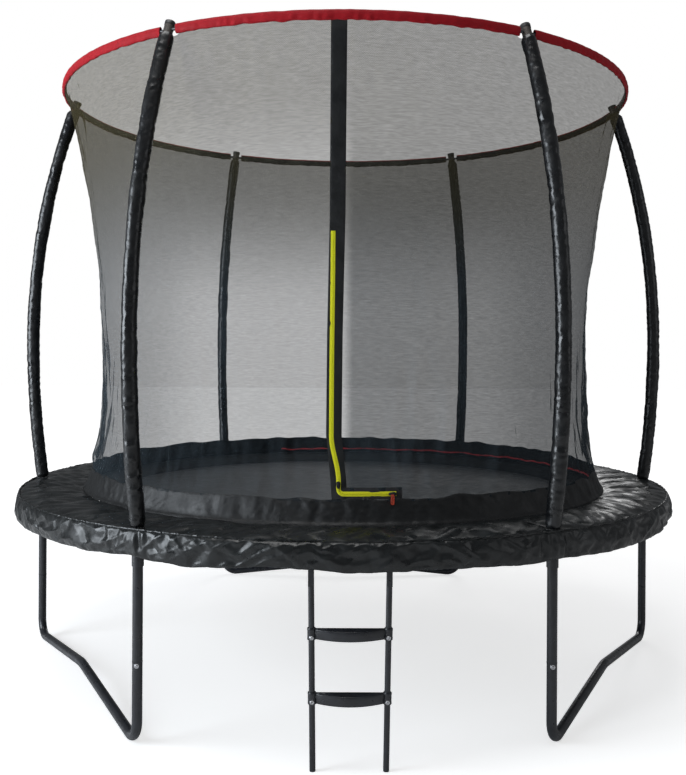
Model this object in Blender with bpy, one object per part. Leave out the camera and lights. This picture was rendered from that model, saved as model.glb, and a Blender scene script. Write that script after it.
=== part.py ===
"""Round backyard trampoline with a curved-pole enclosure, in metres, +Z up.

The origin is on the ground under the middle of the mat. The ladder and the zip
are at the front, towards -Y. Six posts stand every 60 degrees, one at +X.
"""

from math import acos, asin, atan2, cos, degrees, pi, radians, sin, sqrt, tau

import bmesh
import bpy
from mathutils import Matrix, Vector

# ---------------------------------------------------------------- overall sizes
FRAME_RADIUS = 1.506  # ring of frame rails, at the tube's middle
FRAME_HEIGHT = 0.74
RING_INSET = 0.153  # the rod that holds the net up runs inside the frame ring
RING_RISE = 1.903
POST_COUNT = 6
FRONT = -90.0  # degrees, the side with the ladder and the zip

# ------------------------------------------------------------------ steel tubes
TUBE_RADIUS = 0.019
TUBE_WALL = 0.0015
SLIDE_FIT = 0.0007  # between a tube and the socket it slides into
TUBE_SIDES = 8
SKIN = 0.0003  # gap between pieces that touch

SOCKET_WALL = 0.0025
SOCKET_HALF_LENGTH = 0.075  # along the frame ring
SOCKET_DROP = 0.085
SOCKET_OVER_PAD = 0.0025
RAIL_END_GAP = 0.026  # from the post's axis to the end of a rail
POST_SEAT = 0.021  # from the ring's middle to a post or leg end
RAIL_STEPS = 8
BORE_PAST = 0.01  # how far a cutter runs past the face it cuts

# ------------------------------------------------------------------------- legs
LEG_SPLICE_HEIGHT = 0.31
LEG_BEND_RADIUS = 0.075
LEG_BASE_RISE = 0.075  # middle of the base tube over its two corners
SPIGOT_LENGTH = 0.06
LEG_BEND_STEPS = 3

# ------------------------------------------------------------------------ poles
POLE_BULGE = 0.052  # how far a pole leans out past the frame ring
POLE_BULGE_RISE = 0.74  # over the frame ring
POLE_OVER_RING = 0.027
POLE_STEPS = 5
SLEEVE_RADIUS = 0.030
SLEEVE_FOOT_GAP = 0.006
SLEEVE_TOP_GAP = 0.018  # bare tube between the sleeve and the rod
ROD_HOLE_RADIUS = 0.010
CAP_THICKNESS = 0.008
CAP_PLUG_LENGTH = 0.009
CAP_EDGE_SHARE = 0.6  # of its thickness, where its rounding starts
CAP_FACE_SHARE = 0.8  # of its radius, where its flat face starts

# --------------------------------------------------------------- rod and sleeve
RING_SIDES = 36  # every round fabric piece and the rod share these corners
ROD_RADIUS = 0.006
ROD_SIDES = 6
ROD_SLEEVE_HALF_HEIGHT = 0.0185
ROD_SLEEVE_HALF_WIDTH = 0.0095
ROD_SLEEVE_WALL = 0.0015
SLEEVE_SIDES = 6
ROD_SLEEVE_GAP = 0.004  # from a pole's sleeve to the end of a rod sleeve

# -------------------------------------------------------------------------- net
NET_THICKNESS = 0.002
NET_TOP_GAP = 0.002
NET_TOP_INSET = 0.012  # net's top edge inside the rod's middle
NET_SLEEVE_GAP = 0.004  # from a pole's sleeve to the net's top, which is drawn in at a post
NET_WAIST_OVER_MAT = 0.008  # waist outside the mat's edge
NET_WAIST_RISE = 0.61  # over the frame ring
NET_BASE_INSET = 0.011  # net's fold inside the pad's inner edge
NET_BASE_RISE = 0.0245  # over the pad
NET_ROWS_ABOVE = 3
NET_ROWS_BELOW = 3
BAND_HEIGHT = 0.07  # dark opaque band over the pad
BAND_THICKNESS = 0.003
BAND_FOLD = 1.5  # thickness of the band at its fold, in band thicknesses
BAND_FOOT_OVER_MAT = 0.033  # band's foot outside the mat's edge
BAND_FOOT_RISE = 0.012  # over the frame ring

# -------------------------------------------------------------------------- zip
ZIP_WIDTH = 0.018
ZIP_THICKNESS = 0.003
ZIP_GAP = 0.0015
ZIP_CORNER_X = -0.026
ZIP_TOP_X = -0.052
ZIP_LENGTH = 1.005  # top of the upright run over the band
ZIP_END_X = 0.19
ZIP_ABOVE_BAND = 0.022
SLIDER_LENGTH = 0.030
SLIDER_WIDTH = 0.022
SLIDER_THICKNESS = 0.009
SLIDER_ROOM = 0.002  # more than the usual gap between a slider and the tape
SLIDER_NOSE_SHARE = 0.7  # of its width, at its nose
SLIDER_FACE_SHARE = 0.8  # of its width, at its front face
SLIDER_FACE_LENGTH_SHARE = 0.85  # of its length, at its front face
PULL_LENGTH = 0.040
PULL_WIDTH = 0.014
PULL_THICKNESS = 0.004

# ---------------------------------------------------------------- mat and springs
MAT_INSET = 0.341  # mat's edge inside the frame ring
MAT_THICKNESS = 0.003
MAT_HEM_WIDTH = 0.035
MAT_HEM_THICKNESS = 0.008
SPRING_COUNT = 54  # nine to a rail
SPRING_GAP = 0.017  # from the mat's edge to the hoop, and from a spring's end to the rail
SPRING_HOOP_WIDTH = 0.010
SPRING_WIDTH = 0.018
SPRING_THICKNESS = 0.014

# -------------------------------------------------------------------------- pad
PAD_OVER_FRAME = 0.041  # pad's outer edge outside the frame ring
PAD_WIDTH_INSIDE = 0.254  # pad's inner edge inside the frame ring
PAD_THICKNESS = 0.020
PAD_RIDE = 0.0085  # pad's underside over the top of the frame tube
PAD_HOLE_FIT = 0.004
PAD_HOLE_SIDES = 10
SKIRT_THICKNESS = 0.004
SKIRT_DROP = 0.055  # skirt's hem under the frame ring's middle

# ----------------------------------------------------------------------- ladder
LADDER_X = 0.015
LADDER_HALF_TOP = 0.135
LADDER_HALF_FOOT = 0.126
LADDER_RADIUS = 0.0105
LADDER_WALL = 0.0015
LADDER_TOP_GAP = 0.012
LADDER_SIDES = 10
STEP_DROPS = (0.471, 0.251)  # top of each step under the frame ring's middle
STEP_HEIGHT = 0.036
STEP_WALL = 0.003
STEP_BOW = 0.044
STEP_FIT = 0.0008
STEP_FRONT_SHARE = 0.4  # of the rail's radius, where the step's front starts
STEP_BACK_SHARE = 0.6  # of the rail's radius, where the step's back lies
STEP_HOLLOW_SHARE = 0.97  # of the step's length
COLLAR_WALL = 0.003
COLLAR_PAST = 0.002  # how far a collar stands past its step
STEP_BOW_POINTS = 9
HOOK_WIDTH = 0.020
HOOK_THICKNESS = 0.004
HOOK_FIT = 0.00086  # past the rail where its flats fall short of its circle
HOOK_TAIL = 0.075
HOOK_STEPS = 10
HOOK_END_ANGLE = -15.0

# Values that follow from the sizes above
POST_ANGLES = [360.0 / POST_COUNT * number for number in range(POST_COUNT)]
POST_PITCH = 360.0 / POST_COUNT
CORNER_PITCH = 360.0 / RING_SIDES
RAIL_FLAT_TURN = (POST_PITCH - 2 * degrees(SOCKET_HALF_LENGTH / FRAME_RADIUS)) / RAIL_STEPS
RAIL_SAG = FRAME_RADIUS * (1 - cos(radians(RAIL_FLAT_TURN / 2)))  # a flat's middle, inside the circle
PAD_OUTER_RADIUS = FRAME_RADIUS + PAD_OVER_FRAME
PAD_INNER_RADIUS = FRAME_RADIUS - PAD_WIDTH_INSIDE
PAD_BOTTOM = FRAME_HEIGHT + TUBE_RADIUS + PAD_RIDE
PAD_TOP = PAD_BOTTOM + PAD_THICKNESS
SOCKET_BORE = TUBE_RADIUS + SLIDE_FIT
SOCKET_RADIUS = SOCKET_BORE + SOCKET_WALL
SOCKET_TOP = PAD_TOP + SOCKET_OVER_PAD
SKIRT_BOTTOM = FRAME_HEIGHT - SKIRT_DROP
POLE_WIDEST_RADIUS = FRAME_RADIUS + POLE_BULGE
POLE_WIDEST_HEIGHT = FRAME_HEIGHT + POLE_BULGE_RISE
RING_RADIUS = FRAME_RADIUS - RING_INSET
RING_HEIGHT = FRAME_HEIGHT + RING_RISE
MAT_RADIUS = FRAME_RADIUS - MAT_INSET
SPRING_INNER_RADIUS = MAT_RADIUS + SPRING_GAP
SPRING_OUTER_RADIUS = FRAME_RADIUS - TUBE_RADIUS - SPRING_GAP
NET_WAIST_RADIUS = MAT_RADIUS + NET_WAIST_OVER_MAT
NET_WAIST_HEIGHT = FRAME_HEIGHT + NET_WAIST_RISE
NET_BASE_RADIUS = PAD_INNER_RADIUS - NET_BASE_INSET
NET_BASE_HEIGHT = PAD_TOP + NET_BASE_RISE
BAND_FOOT_RADIUS = MAT_RADIUS + BAND_FOOT_OVER_MAT
BAND_FOOT_HEIGHT = FRAME_HEIGHT + BAND_FOOT_RISE
BAND_TOP = NET_BASE_HEIGHT + BAND_HEIGHT
ZIP_TOP_HEIGHT = BAND_TOP + ZIP_LENGTH
STEP_TOPS = [FRAME_HEIGHT - drop for drop in STEP_DROPS]
NET_TOP_HEIGHT = RING_HEIGHT - ROD_SLEEVE_HALF_HEIGHT - NET_TOP_GAP
NET_TOP_RADIUS = RING_RADIUS - NET_TOP_INSET
NET_POST_TUCK = SLEEVE_RADIUS + NET_SLEEVE_GAP - NET_TOP_INSET
ROD_SLEEVE_END = degrees((SLEEVE_RADIUS + ROD_SLEEVE_GAP) / RING_RADIUS)
SMOOTH_BELOW = 40.0  # degrees between two faces that are shaded as one round surface
CRISP_BELOW = 20.0  # the same, for pieces made of flats
LEAST_MITRE = 0.5


# ---------------------------------------------------------------------- helpers
def clear_scene():
    for old in list(bpy.data.objects):
        bpy.data.objects.remove(old, do_unlink=True)


def finish_material(name, colour, roughness, metallic=0.0):
    """One Principled material with the part's colour, roughness and metal."""
    material = bpy.data.materials.new(name)
    material.use_nodes = True
    shader = material.node_tree.nodes["Principled BSDF"]
    shader.inputs["Base Color"].default_value = (*colour, 1.0)
    shader.inputs["Roughness"].default_value = roughness
    shader.inputs["Metallic"].default_value = metallic
    return material


def mesh_from(name, points, faces, smooth_below=SMOOTH_BELOW):
    """A closed mesh facing outwards, its round faces smooth and its corners kept sharp."""
    mesh = bpy.data.meshes.new(name)
    mesh.from_pydata([tuple(point) for point in points], [], faces)
    shape = bmesh.new()
    shape.from_mesh(mesh)
    bmesh.ops.recalc_face_normals(shape, faces=shape.faces)
    shape.to_mesh(mesh)
    shape.free()
    mesh.shade_smooth()
    mesh.set_sharp_from_angle(angle=radians(smooth_below))
    return mesh


def add_node(name, mesh, finish, parent=None):
    """One named piece of the trampoline, with its own material."""
    piece = bpy.data.objects.new(name, mesh)
    bpy.context.scene.collection.objects.link(piece)
    colour, roughness, metallic = finish
    material = finish_material(name, colour, roughness, metallic)
    if not mesh.materials:
        mesh.materials.append(None)
    piece.material_slots[0].link = "OBJECT"
    piece.material_slots[0].material = material
    piece.parent = parent
    return piece


def loft(rings, closed=False):
    """Quads between rings of equal length, with the ring order giving outward faces."""
    count = len(rings[0])
    points = [point for ring in rings for point in ring]
    faces = []
    stretches = len(rings) if closed else len(rings) - 1
    for row in range(stretches):
        here = row * count
        there = (row + 1) % len(rings) * count
        for side in range(count):
            turn = (side + 1) % count
            faces.append((here + side, here + turn, there + turn, there + side))
    return points, faces


def outline_frame(path, index, up):
    """The two directions across a path at one of its points."""
    before = path[max(index - 1, 0)]
    after = path[min(index + 1, len(path) - 1)]
    along = (after - before).normalized()
    side = up.cross(along).normalized()
    return side, along.cross(side)


def swept_rings(path, radius, sides, up):
    """Rings of a round tube along a path that stays in the plane across up."""
    rings = []
    for index, middle in enumerate(path):
        side, rise = outline_frame(path, index, up)
        stretch = 1.0
        if 0 < index < len(path) - 1:
            first = (middle - path[index - 1]).normalized()
            second = (path[index + 1] - middle).normalized()
            stretch = 1.0 / max(cos(first.angle(second) / 2), LEAST_MITRE)
        ring = []
        for corner in range(sides):
            turn = tau * (corner + 0.5) / sides
            aside = side * (radius * cos(turn) * stretch)
            ring.append(middle + aside + rise * (radius * sin(turn)))
        rings.append(ring)
    return rings


def tube_mesh(name, path, outer, inner, sides, up):
    """An open-ended tube: outer wall one way, bore the other way, joined at both ends."""
    outside = swept_rings(path, outer, sides, up)
    inside = swept_rings(path, inner, sides, up)
    points, faces = loft(outside + inside[::-1], closed=True)
    return mesh_from(name, points, faces)


def rod_mesh(name, path, radius, sides, up):
    rings = swept_rings(path, radius, sides, up)
    points, faces = loft(rings)
    last = len(points) - sides
    faces.append(tuple(range(sides))[::-1])
    faces.append(tuple(range(last, last + sides)))
    return mesh_from(name, points, faces)


def on_ring(radius, angle, height):
    """A point on a smooth circle about the trampoline's axis, angle in degrees."""
    return Vector((radius * cos(radians(angle)), radius * sin(radians(angle)), height))


def chord_share(angle):
    """How far in a many-sided ring lies at this angle, as a share of its radius."""
    half = radians(CORNER_PITCH / 2)
    return cos(half) / cos(radians(angle % CORNER_PITCH) - half)


def on_sides(radius, angle, height):
    """A point on the many-sided ring that the fabric pieces and the rod share."""
    return on_ring(radius * chord_share(angle), angle, height)


def revolved(name, profile):
    """A closed profile of (radius, height) turned about the axis, in RING_SIDES steps.

    The profile runs down its outer side, from top to bottom.
    """
    rings = []
    for corner in range(RING_SIDES):
        turn = corner * CORNER_PITCH
        rings.append([on_ring(radius, turn, height) for radius, height in profile])
    points, faces = loft(rings, closed=True)
    return mesh_from(name, points, faces)


def cut_mesh(name, body, cutters, operation="DIFFERENCE"):
    """The body with each cutter applied in turn, as a plain mesh."""
    work = bpy.data.objects.new(name + "_work", body)
    bpy.context.scene.collection.objects.link(work)
    helpers = [work]
    for number, cutter in enumerate(cutters):
        tool = bpy.data.objects.new(f"{name}_cutter_{number}", cutter)
        bpy.context.scene.collection.objects.link(tool)
        helpers.append(tool)
        step = work.modifiers.new(f"cut_{number}", "BOOLEAN")
        step.operation = operation
        step.solver = "EXACT"
        step.object = tool
    graph = bpy.context.evaluated_depsgraph_get()
    mesh = bpy.data.meshes.new_from_object(work.evaluated_get(graph))
    mesh.name = name
    mesh.shade_smooth()
    mesh.set_sharp_from_angle(angle=radians(SMOOTH_BELOW))
    for helper in helpers:
        bpy.data.objects.remove(helper, do_unlink=True)
    return mesh


# Colour, roughness and metal of each finish
BLACK_STEEL = ((0.030, 0.032, 0.040), 0.35, 0.6)
GREY_STEEL = ((0.36, 0.35, 0.36), 0.42, 0.8)
ZINC_STEEL = ((0.55, 0.56, 0.58), 0.40, 0.9)
BLACK_PVC = ((0.020, 0.022, 0.028), 0.38, 0.0)
BLACK_PLASTIC = ((0.015, 0.015, 0.017), 0.45, 0.0)
BLACK_ROD = ((0.012, 0.012, 0.014), 0.50, 0.0)
RED_FABRIC = ((0.62, 0.020, 0.050), 0.70, 0.0)
MAT_FABRIC = ((0.018, 0.019, 0.022), 0.80, 0.0)
NET_FABRIC = ((0.060, 0.060, 0.058), 0.85, 0.0)
BAND_FABRIC = ((0.020, 0.020, 0.022), 0.80, 0.0)
ZIP_TAPE = ((0.72, 0.80, 0.10), 0.60, 0.0)
RED_PLASTIC = ((0.70, 0.10, 0.04), 0.45, 0.0)


# ------------------------------------------------------------------- frame ring
def post_mount(angle, number):
    """An empty at the foot of a post, turned so that its +X points outwards."""
    mount = bpy.data.objects.new(f"post_mount_{number}", None)
    bpy.context.scene.collection.objects.link(mount)
    mount.rotation_euler = (0.0, 0.0, radians(angle))
    return mount


def ring_turn(reach):
    """Degrees round the frame ring that this distance along it covers."""
    return degrees(reach / FRAME_RADIUS)


def frame_rail_mesh():
    """A bent rail between two posts, drawn from the +X post round to the next one.

    Its two ends are straight for as far as the joints hold them.
    """
    first = ring_turn(SOCKET_HALF_LENGTH)
    span = POST_PITCH - 2 * first
    turns = [ring_turn(RAIL_END_GAP)]
    turns += [first + span * step / RAIL_STEPS for step in range(RAIL_STEPS + 1)]
    turns += [POST_PITCH - ring_turn(RAIL_END_GAP)]
    path = [on_ring(FRAME_RADIUS, turn, FRAME_HEIGHT) for turn in turns]
    bore = TUBE_RADIUS - TUBE_WALL
    return tube_mesh("frame_rail", path, TUBE_RADIUS, bore, TUBE_SIDES, Vector((0, 0, 1)))


def joint_line(past=0.0):
    """Middle line of a joint's two rail sockets, which follows the rails' straight ends."""
    reaches = (-SOCKET_HALF_LENGTH, -RAIL_END_GAP, RAIL_END_GAP, SOCKET_HALF_LENGTH)
    line = [on_ring(FRAME_RADIUS, ring_turn(reach), FRAME_HEIGHT) for reach in reaches]
    line[0] += (line[0] - line[1]).normalized() * past
    line[3] += (line[3] - line[2]).normalized() * past
    return line


def frame_joint_mesh():
    """T-shaped socket at the +X post: rails from both sides, leg below and pole above."""
    up = Vector((0, 0, 1))
    across = Vector((0, 1, 0))
    foot = Vector((FRAME_RADIUS, 0, FRAME_HEIGHT - SOCKET_DROP))
    head = Vector((FRAME_RADIUS, 0, SOCKET_TOP))
    sleeve = rod_mesh("joint_sleeve", joint_line(), SOCKET_RADIUS, TUBE_SIDES, up)
    stub = rod_mesh("joint_stub", [foot, head], SOCKET_RADIUS, TUBE_SIDES, across)
    body = cut_mesh("joint_body", sleeve, [stub], "UNION")
    rail_bore = rod_mesh("joint_rail_bore", joint_line(BORE_PAST), SOCKET_BORE, TUBE_SIDES, up)
    ends = [foot - up * BORE_PAST, head + up * BORE_PAST]
    post_bore = rod_mesh("joint_post_bore", ends, SOCKET_BORE, TUBE_SIDES, across)
    return cut_mesh("frame_joint", body, [rail_bore, post_bore])


def build_frame():
    rail = frame_rail_mesh()
    joint = frame_joint_mesh()
    for number, angle in enumerate(POST_ANGLES, 1):
        turn = radians(angle)
        add_node(f"frame_rail_{number}", rail, ZINC_STEEL).rotation_euler = (0, 0, turn)
        add_node(f"frame_joint_{number}", joint, ZINC_STEEL).rotation_euler = (0, 0, turn)


# ------------------------------------------------------------------------- legs
def bend(path_in, corner, path_out, radius, steps):
    """Points of a rounded corner between two straight runs."""
    back = (path_in - corner).normalized()
    forward = (path_out - corner).normalized()
    opening = back.angle(forward)
    reach = radius / (sin(opening / 2) / cos(opening / 2))
    centre = corner + (back + forward).normalized() * (radius / sin(opening / 2))
    start = corner + back * reach - centre
    finish = corner + forward * reach - centre
    sweep = start.angle(finish)
    points = []
    for step in range(steps + 1):
        share = step / steps
        first = start * (sin((1 - share) * sweep) / sin(sweep))
        second = finish * (sin(share * sweep) / sin(sweep))
        points.append(centre + first + second)
    return points


def leg_base_mesh():
    """Lower part of a U leg, from the +X post to the next, standing on its two corners."""
    floor = TUBE_RADIUS
    near = on_ring(FRAME_RADIUS, 0.0, floor)
    far = on_ring(FRAME_RADIUS, POST_PITCH, floor)
    raised = (near + far) / 2 + Vector((0, 0, LEG_BASE_RISE))
    top_near = near + Vector((0, 0, LEG_SPLICE_HEIGHT - floor))
    top_far = far + Vector((0, 0, LEG_SPLICE_HEIGHT - floor))
    path = [top_near]
    path += bend(top_near, near, raised, LEG_BEND_RADIUS, LEG_BEND_STEPS)
    path += [raised]
    path += bend(raised, far, top_far, LEG_BEND_RADIUS, LEG_BEND_STEPS)
    path += [top_far]
    across = (far - near).cross(Vector((0, 0, 1))).normalized()
    wall = swept_rings(path, TUBE_RADIUS, TUBE_SIDES, across)
    lowest = min(point.z for ring in wall for point in ring)
    for point in path[1:-1]:
        point.z -= lowest
    bore = TUBE_RADIUS - TUBE_WALL
    return tube_mesh("leg_base", path, TUBE_RADIUS, bore, TUBE_SIDES, across)


def facet_turn(angle):
    """Smallest turn that brings a tube's flats in line with flats turned by this angle."""
    pitch = 360.0 / TUBE_SIDES
    return (angle + pitch / 2) % pitch - pitch / 2


def leg_upper_mesh(post_turn):
    """Upright leg tube, its +X along the leg; its reduced lower end slides into the leg base.

    Its flats line up with the leg base below and with the frame joint above.
    """
    bore = TUBE_RADIUS - TUBE_WALL
    spigot = bore - SLIDE_FIT
    shoulder = LEG_SPLICE_HEIGHT + SKIN
    top = FRAME_HEIGHT - POST_SEAT
    twist = radians(facet_turn(post_turn))
    outline = [
        (spigot, shoulder - SPIGOT_LENGTH, 0.0),
        (spigot, shoulder, 0.0),
        (TUBE_RADIUS, shoulder, 0.0),
        (TUBE_RADIUS, top, twist),
        (bore, top, twist),
        (bore, shoulder + TUBE_WALL, 0.0),
        (spigot - TUBE_WALL, shoulder + TUBE_WALL, 0.0),
        (spigot - TUBE_WALL, shoulder - SPIGOT_LENGTH, 0.0),
    ]
    rings = []
    for radius, height, turned in outline:
        turns = [tau * (corner + 0.5) / TUBE_SIDES + turned for corner in range(TUBE_SIDES)]
        rings.append([Vector((radius * cos(turn), radius * sin(turn), height)) for turn in turns])
    points, faces = loft(rings, closed=True)
    return mesh_from("leg_upper", points, faces)


def build_legs():
    """Three U legs, each under two posts: back, left and right."""
    base = leg_base_mesh()
    chord = 90.0 + POST_PITCH / 2  # direction of the leg, seen from the first post's radius
    uppers = (leg_upper_mesh(-chord), leg_upper_mesh(POST_PITCH - chord))
    number = 0
    for place, first_post in (("back", 1), ("left", 3), ("right", 5)):
        turn = POST_ANGLES[first_post]
        add_node(f"leg_base_{place}", base, BLACK_STEEL).rotation_euler = (0, 0, radians(turn))
        for upper, post in zip(uppers, (first_post, (first_post + 1) % POST_COUNT)):
            number += 1
            leg = add_node(f"leg_upper_{number}", upper, BLACK_STEEL)
            leg.location = on_ring(FRAME_RADIUS, POST_ANGLES[post], 0.0)
            leg.rotation_euler = (0, 0, radians(turn + chord))


# ------------------------------------------------------------------------ poles
def pole_radius_at(height):
    """Distance of a pole's middle line from the axis: two arcs that meet where it is widest."""
    if height < POLE_WIDEST_HEIGHT:
        drop = POLE_WIDEST_RADIUS - FRAME_RADIUS
        run = POLE_WIDEST_HEIGHT - SOCKET_TOP
    else:
        drop = POLE_WIDEST_RADIUS - RING_RADIUS
        run = RING_HEIGHT - POLE_WIDEST_HEIGHT
    arc = (run**2 + drop**2) / (2 * drop)
    away = height - POLE_WIDEST_HEIGHT
    return POLE_WIDEST_RADIUS - arc + sqrt(arc**2 - away**2)


def pole_path(bottom, top, steps):
    """Middle line of the +X pole between two heights."""
    heights = [bottom + (top - bottom) * step / steps for step in range(steps + 1)]
    return [Vector((pole_radius_at(height), 0, height)) for height in heights]


def pole_tube_mesh():
    """Pole standing straight in its socket, curved above it, drilled through for the rod."""
    path = [Vector((FRAME_RADIUS, 0, FRAME_HEIGHT + POST_SEAT))]
    path += pole_path(SOCKET_TOP, RING_HEIGHT - SLEEVE_TOP_GAP, POLE_STEPS)
    path += pole_path(RING_HEIGHT, RING_HEIGHT + POLE_OVER_RING, 1)
    bore = TUBE_RADIUS - TUBE_WALL
    tube = tube_mesh("pole_plain", path, TUBE_RADIUS, bore, TUBE_SIDES, Vector((0, 1, 0)))
    middle = Vector((RING_RADIUS, 0, RING_HEIGHT))
    reach = Vector((0, 2 * TUBE_RADIUS, 0))
    ends = [middle - reach, middle + reach]
    drill = rod_mesh("pole_drill", ends, ROD_HOLE_RADIUS, ROD_SIDES, Vector((0, 0, 1)))
    return cut_mesh("pole_tube", tube, [drill])


def pole_sleeve_mesh():
    """Foam sleeve over the pole, from just above the joint to just under the rod.

    It shares the pole's own points, and ends on the straight runs between them.
    """
    path = pole_path(SOCKET_TOP, RING_HEIGHT - SLEEVE_TOP_GAP, POLE_STEPS)
    path[0] = path[0].lerp(path[1], SLEEVE_FOOT_GAP / (path[1] - path[0]).length)
    bore = TUBE_RADIUS + SLIDE_FIT
    return tube_mesh("pole_sleeve", path, SLEEVE_RADIUS, bore, TUBE_SIDES, Vector((0, 1, 0)))


def pole_cap_mesh():
    """Plug in the pole's open top, drawn upright about its own origin."""
    bore = TUBE_RADIUS - TUBE_WALL - SLIDE_FIT
    outline = [
        (bore, -CAP_PLUG_LENGTH),
        (bore, SKIN),
        (TUBE_RADIUS, SKIN),
        (TUBE_RADIUS, CAP_THICKNESS * CAP_EDGE_SHARE),
        (TUBE_RADIUS * CAP_FACE_SHARE, CAP_THICKNESS),
    ]
    rings = []
    for radius, height in outline:
        turns = [tau * (corner + 0.5) / TUBE_SIDES for corner in range(TUBE_SIDES)]
        rings.append([Vector((radius * cos(turn), radius * sin(turn), height)) for turn in turns])
    points, faces = loft(rings)
    last = len(points) - TUBE_SIDES
    faces.append(tuple(range(TUBE_SIDES))[::-1])
    faces.append(tuple(range(last, last + TUBE_SIDES)))
    return mesh_from("pole_cap", points, faces)


def build_poles():
    tube = pole_tube_mesh()
    sleeve = pole_sleeve_mesh()
    cap = pole_cap_mesh()
    top = pole_path(RING_HEIGHT, RING_HEIGHT + POLE_OVER_RING, 1)
    lean = atan2(top[0].x - top[1].x, top[1].z - top[0].z)
    for number, angle in enumerate(POST_ANGLES, 1):
        mount = post_mount(angle, number)
        add_node(f"pole_tube_{number}", tube, GREY_STEEL, mount)
        add_node(f"pole_sleeve_{number}", sleeve, BLACK_PVC, mount)
        plug = add_node(f"pole_cap_{number}", cap, BLACK_PLASTIC, mount)
        plug.location = top[1]
        plug.rotation_euler = (0.0, -lean, 0.0)


# --------------------------------------------------------- rod and its sleeves
def build_top_ring():
    """The rod runs through every pole; its red sleeve is in one length between two poles."""
    rings = []
    for corner in range(RING_SIDES):
        angle = corner * CORNER_PITCH
        ring = []
        for side in range(ROD_SIDES):
            turn = tau * side / ROD_SIDES
            height = RING_HEIGHT + ROD_RADIUS * sin(turn)
            ring.append(on_ring(RING_RADIUS + ROD_RADIUS * cos(turn), angle, height))
        rings.append(ring)
    points, faces = loft(rings, closed=True)
    add_node("net_rod", mesh_from("net_rod", points, faces), BLACK_ROD)

    stops = [ROD_SLEEVE_END]
    folds = range(1, round(POST_PITCH / CORNER_PITCH))
    stops += [CORNER_PITCH * step for step in folds]
    stops += [POST_PITCH - ROD_SLEEVE_END]
    outside = [sleeve_section(angle, 0.0) for angle in stops]
    inside = [sleeve_section(angle, ROD_SLEEVE_WALL) for angle in stops]
    points, faces = loft(outside + inside[::-1], closed=True)
    sleeve = mesh_from("rod_sleeve", points, faces)
    for number, angle in enumerate(POST_ANGLES, 1):
        piece = add_node(f"rod_sleeve_{number}", sleeve, RED_FABRIC)
        piece.rotation_euler = (0, 0, radians(angle))


def sleeve_section(angle, inset):
    """Flattened section of the red sleeve at one angle, as a ring of points."""
    half_width = (ROD_SLEEVE_HALF_WIDTH - inset) / cos(pi / SLEEVE_SIDES)
    half_height = ROD_SLEEVE_HALF_HEIGHT - inset
    section = []
    for side in range(SLEEVE_SIDES):
        turn = tau * side / SLEEVE_SIDES + tau / 4
        radius = RING_RADIUS + half_width * cos(turn)
        section.append(on_sides(radius, angle, RING_HEIGHT + half_height * sin(turn)))
    return section


# -------------------------------------------------------------------------- net
def net_radius(height):
    """Smooth side of the net: a waist, flaring to the rod above and to the pad below."""
    if height >= NET_WAIST_HEIGHT:
        share = (height - NET_WAIST_HEIGHT) / (NET_TOP_HEIGHT - NET_WAIST_HEIGHT)
        return NET_WAIST_RADIUS + (NET_TOP_RADIUS - NET_WAIST_RADIUS) * share**2
    share = (NET_WAIST_HEIGHT - height) / (NET_WAIST_HEIGHT - NET_BASE_HEIGHT)
    return NET_WAIST_RADIUS + (NET_BASE_RADIUS - NET_WAIST_RADIUS) * share**3


def net_heights():
    """Rows of the net, from its foot at the top of the band up to the rod."""
    foot = BAND_TOP + SKIN
    drop = NET_WAIST_HEIGHT - foot
    below = [foot + drop * row / NET_ROWS_BELOW for row in range(NET_ROWS_BELOW)]
    rise = NET_TOP_HEIGHT - NET_WAIST_HEIGHT
    above = [NET_WAIST_HEIGHT + rise * row / NET_ROWS_ABOVE for row in range(NET_ROWS_ABOVE + 1)]
    return below + above


def net_row_radius(height):
    """Side of the net as its straight rows give it, for pieces that lie on it."""
    rows = net_heights()
    for low, high in zip(rows, rows[1:]):
        if low <= height <= high:
            share = (height - low) / (high - low)
            return net_radius(low) + (net_radius(high) - net_radius(low)) * share
    return net_radius(min(max(height, rows[0]), rows[-1]))


def net_wall(offset):
    """Rows of the net's wall, moved inwards by an offset, from the top row down."""
    rows = []
    for height in net_heights()[::-1]:
        ring = []
        for corner in range(RING_SIDES):
            angle = corner * CORNER_PITCH
            radius = net_radius(height) - offset
            if height == NET_TOP_HEIGHT and angle % POST_PITCH == 0:
                radius -= NET_POST_TUCK
            ring.append(on_ring(radius, angle, height))
        rows.append(ring)
    return rows


def build_net():
    outside = net_wall(0.0)
    inside = net_wall(NET_THICKNESS)
    points, faces = loft(outside + inside[::-1], closed=True)
    net = mesh_from("net", points, faces)
    add_node("safety_net", net, NET_FABRIC)

    band_profile = [
        (net_radius(BAND_TOP), BAND_TOP),
        (NET_BASE_RADIUS, NET_BASE_HEIGHT),
        (BAND_FOOT_RADIUS, BAND_FOOT_HEIGHT),
        (BAND_FOOT_RADIUS - BAND_THICKNESS, BAND_FOOT_HEIGHT),
        (NET_BASE_RADIUS - BAND_FOLD * BAND_THICKNESS, NET_BASE_HEIGHT),
        (net_radius(BAND_TOP) - BAND_THICKNESS, BAND_TOP),
    ]
    add_node("net_base_band", revolved("net_base_band", band_profile), BAND_FABRIC)


# -------------------------------------------------------------------------- zip
def net_face_point(x, height, offset):
    """A point in front of the net's outer face, at this x, near the front."""
    radius = net_row_radius(height)
    angle = FRONT + degrees(asin(x / radius))
    flat = on_sides(radius, angle, height)
    return Vector((x, flat.y - offset, height))


def zip_x_at(height):
    low = BAND_TOP + ZIP_ABOVE_BAND
    share = (height - low) / (ZIP_TOP_HEIGHT - low)
    return ZIP_CORNER_X + (ZIP_TOP_X - ZIP_CORNER_X) * share


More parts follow.
